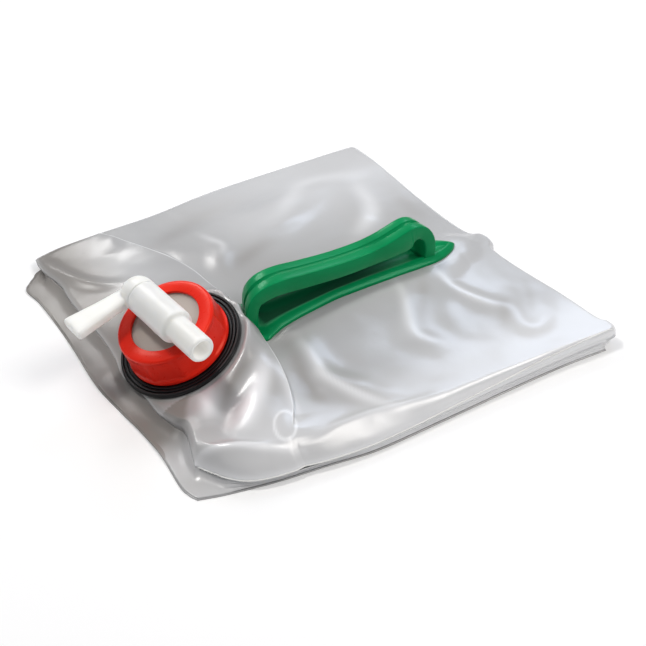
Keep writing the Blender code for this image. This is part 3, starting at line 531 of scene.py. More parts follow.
# Painted highlights along the fold crests, and painted shade in streaks between them: marks,
# strength, and width to the left and to the right of the marks
PAINTED_HIGHLIGHT_STREAKS = (
    (((-24, -36), (-27, -59), (-29, -72), (-25.5, -85), (-18.5, -99), (-9, -112)), 0.45, 2.5, 3.5),
    (((-53, -50), (-59.5, -60), (-74, -73), (-90, -87)), 0.66, 5.5, 5),
    (((-48, -55), (-51, -68), (-55, -82), (-58, -92)), 0.34, 2.5, 3),
    (((94, 78), (87.5, 66.5), (84, 52.5), (78.5, 40.5), (67.5, 31), (52, 20)), 0.4, 6, 6),
    (((112, 80), (92.5, 85), (62.5, 92), (43.5, 80), (30, 69), (8, 65)), 0.22, 6, 6),
    (((-22, 80), (-19, 68), (-17, 58), (-24, 48)), 0.3, 2.5, 2.5),
    (((70, -27), (74.5, -56), (86, -78)), 0.35, 2.5, 2.5),
    (((45.5, -24), (44, -40), (31.5, -67), (39, -84)), 0.35, 2.5, 3.5),
    (((-86, -46), (-90, -55), (-98, -70)), 0.62, 4.5, 4.5),
)
PAINTED_SHADE_STREAKS = (
    (((-31, -24), (-34, -50), (-41, -70), (-40, -86), (-24, -100), (-12, -108)), 0.45, 5, 5),
    (((-49, -46), (-54, -58), (-64, -76), (-79, -92)), 0.35, 3.5, 3.5),
    (((-56, -44), (-63, -51), (-78, -58), (-92, -72)), 0.6, 4, 3),
    (((116, -58), (112, -67), (103, -82), (90, -96)), 0.35, 3, 3),
    (((92, -68), (88, -76), (74, -93)), 0.35, 4, 4),
    (((64, -30), (60, -38), (42, -62), (36, -72)), 0.35, 4, 4),
    (((-6, -76), (6, -82), (18, -100), (47, -106), (70, -108)), 0.25, 9, 9),
    (((-60, 80), (-42, 85), (-24, 92), (4, 99), (30, 104)), 0.25, 6, 6),
    (((107, 70), (102, 33), (100, 12)), 0.3, 6, 6),
    (((-28, 34), (-15, 40), (2, 47), (20, 52)), 0.35, 6, 6),
)
STREAKED = 1.5
# Painted sheen: how much pale sheen is painted on the film in soft patches, and where the one before the neck
# is
BACK_SHEEN = 0.34
FRONT_SHEEN = 0.44
FAR_SHEEN = 0.2
NECK_SHEEN = 0.3
NECK_SHEEN_AT = (-78, -82)
NECK_SHEEN_REACH = 24
# Where the painted shade under the flange ends: Y, and X at that Y
UNDER_FLANGE = ((-76, -110), (-73, -110), (-61, -104), (-53, -99.5), (-45, -93), (-40, -200))
# How far in from the front edge the film rolls down: X, and width there
FRONT_ROLL = (
    (-114, 9), (-100, 13), (-85, 14.5), (-70, 12), (-45, 14), (-25, 15), (-8, 12), (10, 8.5),
    (60, 7), (130, 6),
)
# The same for the other edges
NECK_END_ROLL = 3.5
FAR_END_ROLL = 4.5
BACK_ROLL = 6


def bed_rise(shares):
    """Rise of the film under the handle, at shares of the handle's length."""
    return BED_RISE * np.interp(shares, *zip(*BED))


def base_half_widths(shares):
    """Half width of the handle's leaf-shaped base at shares of its length."""
    fine = along(np.array(LEAF) * (1, 0.2), np.linspace(0, 1, 400))
    return np.interp(shares, fine[:, 0], fine[:, 1] / 0.2) * LEAF_HALF_WIDTH


def over_bed(x, y, height):
    """Film heights where the handle's bed lifts them, fading out beyond the handle's base."""
    c, s = math.cos(LINE_TURN), math.sin(LINE_TURN)
    dx, dy = x - NECK_AT.x, y - NECK_AT.y
    forward = dx * c + dy * s - HANDLE_FROM_NECK
    shares = 0.5 + 0.5 * np.clip(forward / HANDLE_HALF, -1, 1)
    beyond = np.clip(np.abs(forward) - HANDLE_HALF - 1, 0, None)
    away = np.clip(np.abs(dy * c - dx * s) - base_half_widths(shares) - 0.8, 0, None)
    bed = FOLD_HEIGHT + bed_rise(shares)
    return bed + (height - bed) * smooth(np.hypot(away, beyond), 0, BED_FADE)


def seat_height(x, y):
    """Height of the plane under the flange, and how far from the neck's axis a place on it is."""
    dx, dy = x - SEAT.x, y - SEAT.y
    dz = -(dx * NECK_AXIS.x + dy * NECK_AXIS.y) / NECK_AXIS.z
    return SEAT.z + dz, np.sqrt(dx * dx + dy * dy + dz * dz)


def flange_marks():
    """Heights all round the flange: level with it, and a little proud at the front right."""
    marks = []
    for turn in range(0, 360, 20):
        proud = 1.4 if 240 <= turn <= 340 else -0.8
        arm = Matrix.Rotation(math.radians(turn), 3, "Z") @ Vector((FLANGE_EDGE + 4, 0, proud))
        spot = SEAT + NECK_TURN.to_3x3() @ arm
        if spot.x > -108:
            marks.append(tuple(spot))
    return tuple(marks)


def dart_reach(x, y):
    """How far out a place is on the dart: 1 is its rim."""
    dx, dy = x - DART_X, y - DART_Y
    c, s = DART_WAY
    return np.hypot((c * dx + s * dy) / DART_LENGTH, (s * dx - c * dy) / DART_WIDTH)


def top_heights(plan, marks, folds, at_neck):
    """Heights of one half of the top sheet over its plan, rolled down at the edges."""
    x, y = plan[..., 0], plan[..., 1]
    height = through(marks)(x, y) + sum(fold(x, y, *facts) for facts in folds)
    if at_neck:
        seat, out = seat_height(x, y)
        free = smooth(out, FLANGE_EDGE + 0.7, FLANGE_EDGE + 4.7)
        height = seat + (softened(height, 5) - seat) * free
        height += DART_RISE * np.clip(1 - dart_reach(x, y) ** 2, 0, 1) ** 0.8
        end = rolled(distances(plan, 1), NECK_END_ROLL, 2)
    else:
        height = over_bed(x, y, softened(height, 12))
        end = rolled(distances(plan, 1, True), FAR_END_ROLL, 2)
    front = rolled(distances(plan, 0), np.interp(x[:1], *zip(*FRONT_ROLL)), 1.6)
    back = rolled(distances(plan, 0, True), BACK_ROLL, 2)
    return RIM + (height - RIM) * front * back * end


def split_at(curve, place):
    """Marks of a front or back edge up to the pleat, and from it on."""
    before = [mark for mark in curve if mark[0] < place[0] - 2]
    after = [mark for mark in curve if mark[0] > place[0] + 2]
    return before + [place], [place] + after


def top_points():
    """Points of the whole top sheet, and the column in which the pleat's crest lies."""
    up = crowded(TOP_ROWS, 5, 2)
    line = [place[:2] for place in PLEAT]
    front_a, front_b = split_at(TOP_FRONT, line[0])
    back_a, back_b = split_at(TOP_BACK, line[-1])
    neck_plan = patch(front_a, back_a, TOP_NECK_END, line, crowded(NECK_COLUMNS, 2.5, 0.8), up)
    neck_marks = tuple(place[:3] for place in PLEAT) + NECK_SIDE + flange_marks()
    neck_half = np.dstack([neck_plan, top_heights(neck_plan, neck_marks, NECK_FOLDS, True)])
    plan = patch(front_b, back_b, line, TOP_FAR_END, crowded(HANDLE_COLUMNS, 1, 3), up)
    handle_marks = tuple((x, y, foot) for x, y, _, foot in PLEAT) + HANDLE_SIDE
    height = top_heights(plan, handle_marks, HANDLE_FOLDS, False)
    crest = neck_half[:, -1]
    closed = ramp(-crest[:, 1], 90, 99)
    from_pleat = distances(plan, 1)
    height += (closed * (crest[:, 2] - height[:, 0]))[:, None] * np.exp(-from_pleat / 12)
    drop = np.clip(crest[:, 2] - height[:, 0], 0, None)
    plan[..., 0] += (1.2 - 0.34 * drop + 1.8 * closed)[:, None] * np.exp(-from_pleat / 6)
    handle_half = np.dstack([plan, height])
    foot = handle_half[:, 0]
    reach = (0.4 + 0.06 * drop)[:, None] * np.array([1, 0, 0])
    pleat = []
    for t in np.linspace(0, 1, PLEAT_COLUMNS + 2)[1:-1]:
        bulge = 3 * (1 - t)**2 * t * (crest + reach) + 3 * (1 - t) * t**2 * (foot - reach)
        pleat.append((1 - t)**3 * crest + bulge + t**3 * foot)
    points = np.concatenate([neck_half, np.stack(pleat, axis=1), handle_half], axis=1)
    return points, NECK_COLUMNS - 1


def make_top_sheet():
    """Points of the top sheet, and at each how creased the film is with its painted highlights and sheen, and
    how much painted shade it has.
    """
    points, at_crest = top_points()
    x, y, z = (points[..., k] for k in range(3))
    front = distances(points, 0)
    band = ramp(1.15 * np.interp(x, *zip(*FRONT_ROLL)) - front, 0, 3) * ramp(x, -60, -20)
    plies = np.cos(math.tau * PLIES * ramp(z, RIM, RIM + PLY_BAND)) * ramp(x, -10, 80) * band
    y -= PLY_DEPTH * plies
    # Whitened edges, and painted light on the folded front band with lighter and darker painted lines along
    # its plies
    creases_and_highlights = 0.35 * band - 0.2 * plies + 0.8 * np.exp(-front)
    creases_and_highlights += 0.5 * (np.exp(-distances(points, 1) / 1.2) + np.exp(-distances(points, 1, True) / 1.2))
    # Whitening with a painted highlight along the pleat's crest, then painted highlight lines round the
    # dart's rim and along the lens fold
    creases_and_highlights[:, at_crest:at_crest + 3] += 0.9 * ramp(y[:, at_crest:at_crest + 1], -98, -88)
    creases_and_highlights += 0.55 * np.exp(-((dart_reach(x, y) - 1) / 0.13) ** 2) + fold(x, y, LENS_RIM, 0.8, 1.2, 2.2)
    # Painted sheen in broad pale patches: at the back, at the front, towards the far end, and before the neck
    creases_and_highlights += BACK_SHEEN * smooth(y, 20, 95) * smooth(x, -60, 10) + FRONT_SHEEN * smooth(-y, 72, 108)
    from_neck_sheen = (x - NECK_SHEEN_AT[0]) ** 2 + (y - NECK_SHEEN_AT[1]) ** 2
    creases_and_highlights += FAR_SHEEN * smooth(x, -20, 80) + NECK_SHEEN * np.exp(-from_neck_sheen / NECK_SHEEN_REACH**2)
    # Painted highlights in streaks along the fold crests
    creases_and_highlights += STREAKED * sum(fold(x, y, *streak) for streak in PAINTED_HIGHLIGHT_STREAKS)
    # Painted shade beside the neck, and under the flange
    shade = 0.95 * smooth(-x, 68, 100) * smooth(y, -50, -30)
    under_flange = np.interp(y, *zip(*UNDER_FLANGE))
    shade = np.maximum(shade, smooth(under_flange - x, -1, 4) * smooth(y, -78, -68))
    # Painted shade in streaks between the folds
    shade += STREAKED * sum(fold(x, y, *streak) for streak in PAINTED_SHADE_STREAKS)
    return points, np.clip(creases_and_highlights, 0, 1), np.clip(shade, 0, 1)


def cut_neck_hole(mesh):
    """Cut the film where the neck passes through it, to a true circle."""
    bm = bmesh.new()
    bm.from_mesh(mesh)
    seat, axis, radius = SEAT * MM, NECK_AXIS, NECK_HOLE * MM

    def out(vert):
        offset = vert.co - seat
        return offset - axis * offset.dot(axis)

    inner = [face for face in bm.faces if min(out(vert).length for vert in face.verts) < radius]
    bmesh.ops.delete(bm, geom=inner, context="FACES")
    for vert in bm.verts:
        if vert.is_boundary and out(vert).length < radius * 1.12:
            vert.co = seat + out(vert).normalized() * radius
    bm.to_mesh(mesh)
    bm.free()


TOP_POINTS, top_creases_and_highlights, top_shade = make_top_sheet()
top_sheet = film_mesh("top_sheet", TOP_POINTS, FILM, top_shade, top_creases_and_highlights, hole=cut_neck_hole)
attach(top_sheet, "bag_top")
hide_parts("top_panel")


# Weld along the front: the top sheet is heat-welded to the front wall. The line starts at the
# sheet's edge near the neck and climbs over the folded band towards the far end, in small beads.
WELD_ROWS = 60
# Its distance in from the edge: X, and distance there
WELD_PLACES = ((-104, 0.5), (-60, 0.6), (-5, 0.9), (25, 2.2), (60, 4.6), (90, 7.5), (118, 10.5))
WELD_RADIUS = 0.34
WELD_PROUD = 0.15
BEAD_SPACING = 1.9
BEAD_RADIUS = 0.5
BEAD_SEED = 7


def weld_line(points):
    """Places on the sheet along the front, each at its own distance in from the edge."""
    front = points[:WELD_ROWS]
    reach = np.cumsum(np.linalg.norm(np.diff(front, axis=0, prepend=front[:1]), axis=2), axis=0)
    line = []
    for j, inset in enumerate(np.interp(front[0, :, 0], *zip(*WELD_PLACES))):
        line.append([np.interp(inset, reach[:, j], front[:, j, k]) for k in range(3)])
    return np.array(line[6:-4]) + (0, -0.7 * WELD_PROUD, 0.7 * WELD_PROUD)


def weld_nodes(material):
    """Geometry Nodes: a thin tube along a line, and beads of uneven size strung on it."""
    tree = bpy.data.node_groups.new("weld", "GeometryNodeTree")
    sizes = (("Tube Radius", WELD_RADIUS), ("Bead Spacing", BEAD_SPACING), ("Bead Radius", BEAD_RADIUS))
    tree.interface.new_socket("Geometry", in_out="INPUT", socket_type="NodeSocketGeometry")
    for label, size in sizes:
        socket = tree.interface.new_socket(label, in_out="INPUT", socket_type="NodeSocketFloat")
        socket.default_value = size * MM
    tree.interface.new_socket("Geometry", in_out="OUTPUT", socket_type="NodeSocketGeometry")

    def add(kind, inputs=None, **settings):
        return add_node(tree, kind, inputs, **settings).outputs

    given = add("NodeGroupInput")
    curve = add("GeometryNodeMeshToCurve", {"Mesh": given["Geometry"]})[0]
    circle = add("GeometryNodeCurvePrimitiveCircle", {"Resolution": 8, "Radius": given["Tube Radius"]})[0]
    tube = add("GeometryNodeCurveToMesh", {"Curve": curve, "Profile Curve": circle, "Fill Caps": True})[0]
    spaced = {"Curve": curve, "Length": given["Bead Spacing"]}
    strung = add("GeometryNodeResampleCurve", spaced, mode="LENGTH")[0]
    bead = add("GeometryNodeMeshIcoSphere", {"Subdivisions": 2, "Radius": given["Bead Radius"]})["Mesh"]
    uneven = {"Min": (0.5, 0.4, 0.4), "Max": (1.7, 1, 1), "Seed": BEAD_SEED}
    scale = add("FunctionNodeRandomValue", uneven, data_type="FLOAT_VECTOR")["Value"]
    beads = add("GeometryNodeInstanceOnPoints", {"Points": strung, "Instance": bead, "Scale": scale})[0]
    real = add("GeometryNodeRealizeInstances", {0: beads})[0]
    both = add("GeometryNodeJoinGeometry", {0: tube})[0]
    tree.links.new(real, both.node.inputs[0])
    painted = add("GeometryNodeSetMaterial", {"Geometry": both, "Material": material})[0]
    add("NodeGroupOutput", {"Geometry": painted})
    return tree


def bake(piece):
    """Give a piece the smooth mesh that its modifiers make, and take them away."""
    bpy.context.view_layer.update()
    mesh = bpy.data.meshes.new_from_object(piece.evaluated_get(bpy.context.evaluated_depsgraph_get()))
    piece.modifiers.clear()
    piece.data = mesh
    mesh.shade_smooth()
    return mesh


weld_marks = weld_line(TOP_POINTS) * MM
weld_path = bpy.data.meshes.new("weld_path")
weld_path.from_pydata(weld_marks.tolist(), [(i, i + 1) for i in range(len(weld_marks) - 1)], [])
front_weld = linked("front_weld", weld_path)
weld_finish = Finish("weld_bead", Base_Color=(0.8, 0.8, 0.78, 1), Roughness=0.32, Specular_IOR_Level=0.8)
weld_finish.bump((weld_finish.noise(1.5 * MM, 2), 0.05 * MM, 0.5))
front_weld.modifiers.new("weld", "NODES").node_group = weld_nodes(weld_finish.material)
bake(front_weld)
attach(front_weld, "bag_top")


# Side walls: four strips of the same film, welded to both panels and folded flat between
# them. Only their outer plies show, as a low band round the packet; they stand up as it fills.
WALL_FOOT = 1
WALL_ROWS = 18
SIDE_COLUMNS = 90
FOOT_INSET = 0.8
RIM_INSET = 0.3
PLY_STEP = 0.5
# The front corner beside the neck gets painted shade: a darker colour, and less gloss
FRONT_CORNER = (-116, -90)
CORNER_SHADE = 0.5
# The folded corner behind the neck tucks in between the two panels
TUCK_AT = (-119, 109)
TUCK_WIDTH = 10
TUCK_DEPTH = 8


def outline(front, far_end, back, neck_end):
    """Closed outline of a panel, with equally many points on each side."""
    shares = np.linspace(0, 1, SIDE_COLUMNS, endpoint=False)
    return np.concatenate([along(side, shares) for side in (front, far_end, back[::-1], neck_end[::-1])])


def inwards(ring):
    """Direction from each point of a ring to the middle of the packet."""
    return (centre - ring) / np.linalg.norm(centre - ring, axis=1)[:, None]


def near(points, place):
    """1 at a place on the plan, fading out over the tuck's width."""
    return np.exp(-((points[..., :2] - place) ** 2).sum(axis=-1) / TUCK_WIDTH**2)


low = outline(BOTTOM_FRONT, BOTTOM_FAR_END, BOTTOM_BACK, BOTTOM_NECK_END)
high = outline(TOP_FRONT, TOP_FAR_END, TOP_BACK, TOP_NECK_END)
centre = low.mean(axis=0)
low = low + FOOT_INSET * inwards(low)
high = high + RIM_INSET * inwards(high)
flat = ramp(np.linalg.norm(high - low, axis=1), 5, 10) * np.where(high[:, 0] < 0, 1, -0.16)
wall_points = []
for share in np.linspace(0, 1, WALL_ROWS + 1):
    ring = low + (high - low) * share
    out = (1 - np.abs(flat)) * PLY_STEP * abs(math.sin(3 * math.pi * share))
    tuck = TUCK_DEPTH * math.sin(math.pi * share) * near(ring, TUCK_AT)
    ring = ring + inwards(ring) * (tuck - out)[:, None]
    height = WALL_FOOT + (RIM - WALL_FOOT) * share ** (1 + 2.5 * flat)
    wall_points.append(np.column_stack([ring, height]))
wall_points = np.stack(wall_points)
# Painted light: the walls turn paler towards the far end and along the front
painted_wall_light = 0.5 * smooth(wall_points[..., 0], -70, -30) + 0.4 * smooth(-wall_points[..., 1], 52, 72)
# Painted shade at the neck end, and at the front corner beside it
wall_shade = np.maximum(neck_end_shade(wall_points), CORNER_SHADE * near(wall_points, FRONT_CORNER))
side_walls = film_mesh("side_walls", wall_points, LOWER_FILM, wall_shade, painted_wall_light, ring=True)
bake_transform(side_walls)
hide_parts("front_gusset", "back_gusset", "neck_end_gusset", "far_end_gusset")


# Neck: a black moulding, heat-welded under the top sheet by its flange. Three ring ridges
# stiffen the flange, and the neck above it carries a coarse outer thread.
RIDGE_PITCH = 2
RIDGE_HEIGHT = 1.2
NECK_R = 23.6
NECK_BORE_R = 19.5
NECK_RISE = 14
SPIGOT_R = 21.2
SPIGOT_DROP = 3
THREAD_PITCH = 4
THREAD_DEPTH = 1.2
THREAD_TURNS = 2.25
THREAD_START = 2.6
THREAD_SECTION = ((-0.2, -1.1), (0.75, -0.5), (1, 0), (0.75, 0.5), (-0.2, 1.1))
# Section of one ridge: place across its pitch, height, and how much its corner is rounded
RIDGE_SECTION = ((-0.42, 0, 0.15), (-0.3, 1, 0.3), (0.3, 1, 0.3), (0.42, 0, 0.15))
LATHE_STEPS = 144
MERGE_DISTANCE = 0.002
SHARP_TURN = math.radians(40)


def rounded(corners):
    """Profile of (radius, height, corner radius) with each corner turned into a small arc."""
    points = []
    for before, corner, after in zip(corners[-1:] + corners[:-1], corners, corners[1:] + corners[:1]):
        at, size = Vector(corner[:2]), corner[2]
        if not size:
            points.append(tuple(at))
            continue
        start = at + (Vector(before[:2]) - at).normalized() * size
        end = at + (Vector(after[:2]) - at).normalized() * size
        for step in range(5):
            share = step / 4
            points.append(tuple(start.lerp(at, share).lerp(at.lerp(end, share), share)))
    return points


def placed(name, bm, frame_matrix, material=None):
    """Finish a mesh drawn in millimetres in a frame: put it in place with the object at the origin."""
    bmesh.ops.remove_doubles(bm, verts=bm.verts, dist=MERGE_DISTANCE)
    bmesh.ops.recalc_face_normals(bm, faces=bm.faces)
    mesh = bpy.data.meshes.new(name)
    bm.to_mesh(mesh)
    bm.free()
    mesh.transform(frame_matrix @ Matrix.Scale(MM, 4))
    mesh.shade_smooth()
    mesh.set_sharp_from_angle(angle=SHARP_TURN)
    if material:
        mesh.materials.append(material)
    return linked(name, mesh)


def join(bm, sections, closed=True, onwards=()):
    """Faces between sections of equally many points, and from the last one onwards."""
    count = len(sections[0])
    for here, there in zip(sections, sections[1:] + list(onwards)):
        for i in range(count if closed else count - 1):
            j = (i + 1) % count
            bm.faces.new((here[i], here[j], there[j], there[i]))


def tube(bm, rings):
    """Faces along sections, with a cap at each end."""
    join(bm, rings)
    bm.faces.new(rings[0])
    bm.faces.new(rings[-1])


def around(radius, turn, height):
    return radius * math.cos(turn), radius * math.sin(turn), height


def lathe(profile, steps=LATHE_STEPS, closed=True):
    """Turn a profile of (radius, height) round the Z axis."""
    bm = bmesh.new()
    turns = [math.tau * step / steps for step in range(steps)]
    sections = [[bm.verts.new(around(r, turn, z)) for r, z in profile] for turn in turns]
    join(bm, sections, closed, sections[:1])
    return bm


def moulding(name, colour, deeper, rough, gloss, grain=0.03):
    """Injection-moulded plastic: slightly uneven colour and gloss, with fine handling marks."""
    finish = Finish(name, Specular_IOR_Level=gloss)
    clouds, scuffs = finish.noise(22 * MM, 2), finish.noise(3 * MM, 3, (1, 4, 1))
    finish.set(Base_Color=finish.mix(finish.band(clouds, 0.35, 0.65), (*colour, 1), (*deeper, 1)))
    finish.set(Roughness=finish.band(scuffs, 0.3, 0.75, *rough))
    finish.bump((finish.noise(0.6 * MM, 1), grain * MM, 0.3), (scuffs, 0.5 * grain * MM, 0.12))
    return finish


def add_thread(bm, radius, depth, turns, start, inside=False):
    """Rounded helical rib on a neck, or inside a collar, tapering out at both ends."""
    steps = int(turns * 72)
    sign = -1 if inside else 1
    rings = []
    for step in range(steps + 1):
        share = step / steps
        fade = min(1, 8 * share, 8 * (1 - share)) ** 0.5
        turn, rise = math.tau * turns * share, start + THREAD_PITCH * turns * share
        ring = []
        for out, up in THREAD_SECTION:
            r = radius + sign * depth * (out * fade if out > 0 else out)
            ring.append(bm.verts.new(around(r, turn, rise + up * depth)))
        rings.append(ring)
    tube(bm, rings)


neck_profile = [(NECK_BORE_R, NECK_RISE, 0.6), (NECK_R, NECK_RISE, 0.6), (NECK_R, 0, 0.8)]
for ring in range(3, 0, -1):
    middle = FLANGE_EDGE - (ring - 0.5) * RIDGE_PITCH
    for across, up, edge in RIDGE_SECTION:
        neck_profile.append((middle + across * RIDGE_PITCH, up * RIDGE_HEIGHT, edge))
neck_profile += [(FLANGE_EDGE, 0, 0), (FLANGE_EDGE, -FLANGE_WALL, 0.4), (SPIGOT_R, -FLANGE_WALL, 0)]
neck_profile += [(SPIGOT_R, -FLANGE_WALL - SPIGOT_DROP, 0.5), (NECK_BORE_R, -FLANGE_WALL - SPIGOT_DROP, 0.5)]
neck_mesh = lathe(rounded(neck_profile))
add_thread(neck_mesh, NECK_R, THREAD_DEPTH, THREAD_TURNS, THREAD_START)
black = moulding("black_moulding", (0.006, 0.006, 0.007), (0.01, 0.01, 0.011), (0.3, 0.42), 0.3, 0.01)
neck = placed("neck_moulding", neck_mesh, NECK_FRAME, black.material)
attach(neck, "bag_top")
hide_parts("neck_fitting")


# Washer: a flat soft ring, trapped between the neck's rim and the tap's disc so that the
# collar can seal.
WASHER_BASE = NECK_RISE + REST_GAP
WASHER_WALL = 1.7
WASHER_BORE_R = 17.8

washer_top = WASHER_BASE + WASHER_WALL
washer_profile = [
    (WASHER_BORE_R, washer_top, 0.3), (NECK_R, washer_top, 0.4), (NECK_R, WASHER_BASE, 0.4),
    (WASHER_BORE_R, WASHER_BASE, 0.3),
]
rubber = moulding("washer_rubber", (0.26, 0.26, 0.25), (0.34, 0.34, 0.33), (0.5, 0.7), 0.3)
washer = placed("flat_washer", lathe(rounded(washer_profile)), NECK_FRAME, rubber.material)
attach(washer, "cap_washer")
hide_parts("sealing_washer")


# Collar: a red moulding with an open roof and ten shallow flats for the hand. Its inner
# thread draws the tap's disc down on the washer.
DISC_BASE = washer_top + REST_GAP
DISC_TOP = DISC_BASE + 1.8
ROOF_BASE = DISC_TOP + REST_GAP
ROOF_TOP = ROOF_BASE + 1.8
COLLAR_BASE = RIDGE_HEIGHT + REST_GAP
COLLAR_BORE_R = 25.3
COLLAR_TOP_R = 27.2
COLLAR_BASE_R = 28.2
WINDOW_R = 19.3
BEAD = 0.5
BEAD_TOP = COLLAR_BASE + 2.4
FLATS = 10
FLAT_DEPTH = 0.7
COLLAR_STEPS = 240
INNER_THREAD_DEPTH = 0.9
INNER_THREAD_TURNS = 1.75
INNER_THREAD_START = 4.5


def steps_from(radius, height, *steps):
    """Profile points at steps (out, up, ...) from a place on the profile."""
    return [(radius + out, height + up, *rest) for out, up, *rest in steps]


# Profile: radius, height, and how much of the flats' depth it takes
collar_profile = [
    *steps_from(WINDOW_R, ROOF_TOP, (0, -0.5, 0), (0.15, -0.15, 0), (0.5, 0, 0)),
    *steps_from(COLLAR_TOP_R, ROOF_TOP, (-2.2, 0, 0), (-1.3, -0.06, 0), (-0.7, -0.25, 0), (-0.25, -0.65, 0)),
    *steps_from(COLLAR_TOP_R, ROOF_TOP, (0, -1.3, 0), (0.02, -2, 0.15), (0.08, -3, 0.8), (0.2, -4.5, 1)),
    *steps_from(COLLAR_BASE_R, BEAD_TOP, (-0.15, 1.8, 1), (0, 0.6, 0.85), (0.15, 0.1, 0.2), (BEAD, -0.4, 0)),
    *steps_from(COLLAR_BASE_R, COLLAR_BASE, (BEAD, 0.4, 0), (0.1, 0, 0)),
    *steps_from(COLLAR_BORE_R, COLLAR_BASE, (0.4, 0, 0), (0, 0.5, 0)),
    *steps_from(COLLAR_BORE_R, ROOF_BASE, (0, -0.3, 0), (-0.4, 0, 0)),
    *steps_from(WINDOW_R, ROOF_BASE, (0.3, 0, 0), (0, 0.3, 0)),
]
collar_mesh = bmesh.new()
sections = []
for step in range(COLLAR_STEPS):
    turn = math.tau * step / COLLAR_STEPS
    sunk = FLAT_DEPTH * (1 - abs(math.cos(0.5 * FLATS * turn)) ** FLATS)
    sections.append([collar_mesh.verts.new(around(r - f * sunk, turn, z)) for r, z, f in collar_profile])
join(collar_mesh, sections, onwards=sections[:1])
add_thread(
    collar_mesh, COLLAR_BORE_R, INNER_THREAD_DEPTH, INNER_THREAD_TURNS, INNER_THREAD_START, inside=True
)
red = moulding("red_moulding", (0.8, 0.02, 0.008), (0.74, 0.016, 0.007), (0.27, 0.31), 0.5, 0.01)
red.set(Specular_Tint=(1, 0.3, 0.2, 1))
collar = placed("collar", collar_mesh, NECK_FRAME, red.material)
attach(collar, "cap_collar")
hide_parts("screw_collar")


# Tap: one moulding in natural white plastic. Its disc sits under the collar, and a short
# stub carries the barrel across it, stepped down to the nozzle.
DISC_R = 24.3
BARREL_R = 9.4
BARREL_FROM = -13.2
BARREL_TO = 19.5
NOZZLE_R = 7
NOZZLE_TO = 44
PLUG_SEAT_R = 7.2
PLUG_SEAT_TO = 17
WATERWAY_R = 4.6
STUB_R = 7.8
PORT_R = 3.6
BARREL_AXIS = ROOF_TOP + 0.4 + BARREL_R
TAP_TURN = math.radians(-83)
TAP_FRAME = (
    NECK_FRAME @ Matrix.Translation((0, 0, BARREL_AXIS * MM))
    @ Matrix.Rotation(TAP_TURN, 4, "Z") @ Matrix.Rotation(math.radians(90), 4, "Y")
)
TAP_VOXEL = 0.42
# Colour of the painted shade on the disc under the collar's window
DISC_SHADE_COLOUR = (0.44, 0.39, 0.35, 1)
# Strength of the painted glow in the nozzle's bore, which no lamp gives
BORE_LIGHT = 0.13


def spun(profile, steps=72):
    """A solid of revolution whose profile starts and ends on the axis."""
    return lathe(profile, steps, closed=False)


def bar(radius, low, high, edge=0):
    """Profile of a round bar from its top down, its ends softened by an edge."""
    corner = ((-edge, 0), (-0.3 * edge, -0.3 * edge), (0, -edge)) if edge else ((0, 0),)
    top = steps_from(radius, high, *corner)
    return [(0, high), *top, *((r, low + high - z) for r, z in reversed(top)), (0, low)]


def boolean(piece, operation, others):
    """Fuse others with a piece, or cut them out of it."""
    for other in others:
        modifier = piece.modifiers.new(operation, "BOOLEAN")
        modifier.operation = operation
        modifier.object = other
        modifier.solver = "EXACT"


def fused(name, added, cut, voxel, material, smoothing):
    """Fuse solids and cut others out, with the soft inner corners that a mould leaves."""
    piece = added[0]
    boolean(piece, "UNION", added[1:])
    boolean(piece, "DIFFERENCE", cut)
    remesh = piece.modifiers.new("mould", "REMESH")
    remesh.mode = "VOXEL"
    remesh.voxel_size = voxel * MM
    soften = piece.modifiers.new("soften", "SMOOTH")
    soften.iterations = smoothing
    soften.factor = 0.5
    mesh = bake(piece)
    for used in added[1:] + cut:
        bpy.data.objects.remove(used, do_unlink=True)
    piece.name = name
    mesh.name = name
    mesh.materials.clear()
    mesh.materials.append(material)
    return piece


def places_in(frame_matrix, mesh):
    """The x, y and z of each vertex in a frame, in millimetres."""
    into = (frame_matrix @ Matrix.Scale(MM, 4)).inverted()
    return np.array([into @ vert.co for vert in mesh.vertices]).T


def natural_finish(name):
    """Unpigmented plastic: milky white, soft gloss, and a little light carried inside."""
    finish = moulding(name, (0.86, 0.86, 0.84), (0.8, 0.8, 0.77), (0.3, 0.46), 0.45)
    finish.set(Subsurface_Weight=0.7, Subsurface_Radius=(5 * MM, 4.8 * MM, 4.4 * MM), Subsurface_Scale=1)
    return finish


tap_finish = natural_finish("natural_tap")
# Painted shade: the disc under the collar's window is coloured darker
tap_finish.tint(tap_finish.attribute("painted_disc_shade"), DISC_SHADE_COLOUR)
# Painted light: the bore beyond the plug glows a little, as if lit through the milky plastic
bore_glow = tap_finish.band(tap_finish.attribute("lit_inside"), 0, 1, 0, BORE_LIGHT)
tap_finish.set(Emission_Color=(1, 0.99, 0.97, 1), Emission_Strength=bore_glow)
barrel_profile = [
    (0, NOZZLE_TO), (NOZZLE_R - 1.2, NOZZLE_TO), (NOZZLE_R - 0.35, NOZZLE_TO - 0.35),
    (NOZZLE_R, NOZZLE_TO - 1.3), (NOZZLE_R + 0.1, BARREL_TO + 1.4), (BARREL_R - 0.4, BARREL_TO + 0.2),
    (BARREL_R, BARREL_TO - 0.6), (BARREL_R, BARREL_FROM + 0.3), (BARREL_R - 0.3, BARREL_FROM),
    (0, BARREL_FROM),
]
bore_profile = [
    (0, NOZZLE_TO + 2), (WATERWAY_R + 0.7, NOZZLE_TO + 2), (WATERWAY_R + 0.7, NOZZLE_TO - 0.2),
    (WATERWAY_R, NOZZLE_TO - 1.4), (WATERWAY_R, PLUG_SEAT_TO), (PLUG_SEAT_R, PLUG_SEAT_TO),
    (PLUG_SEAT_R, BARREL_FROM - 2), (0, BARREL_FROM - 2),
]
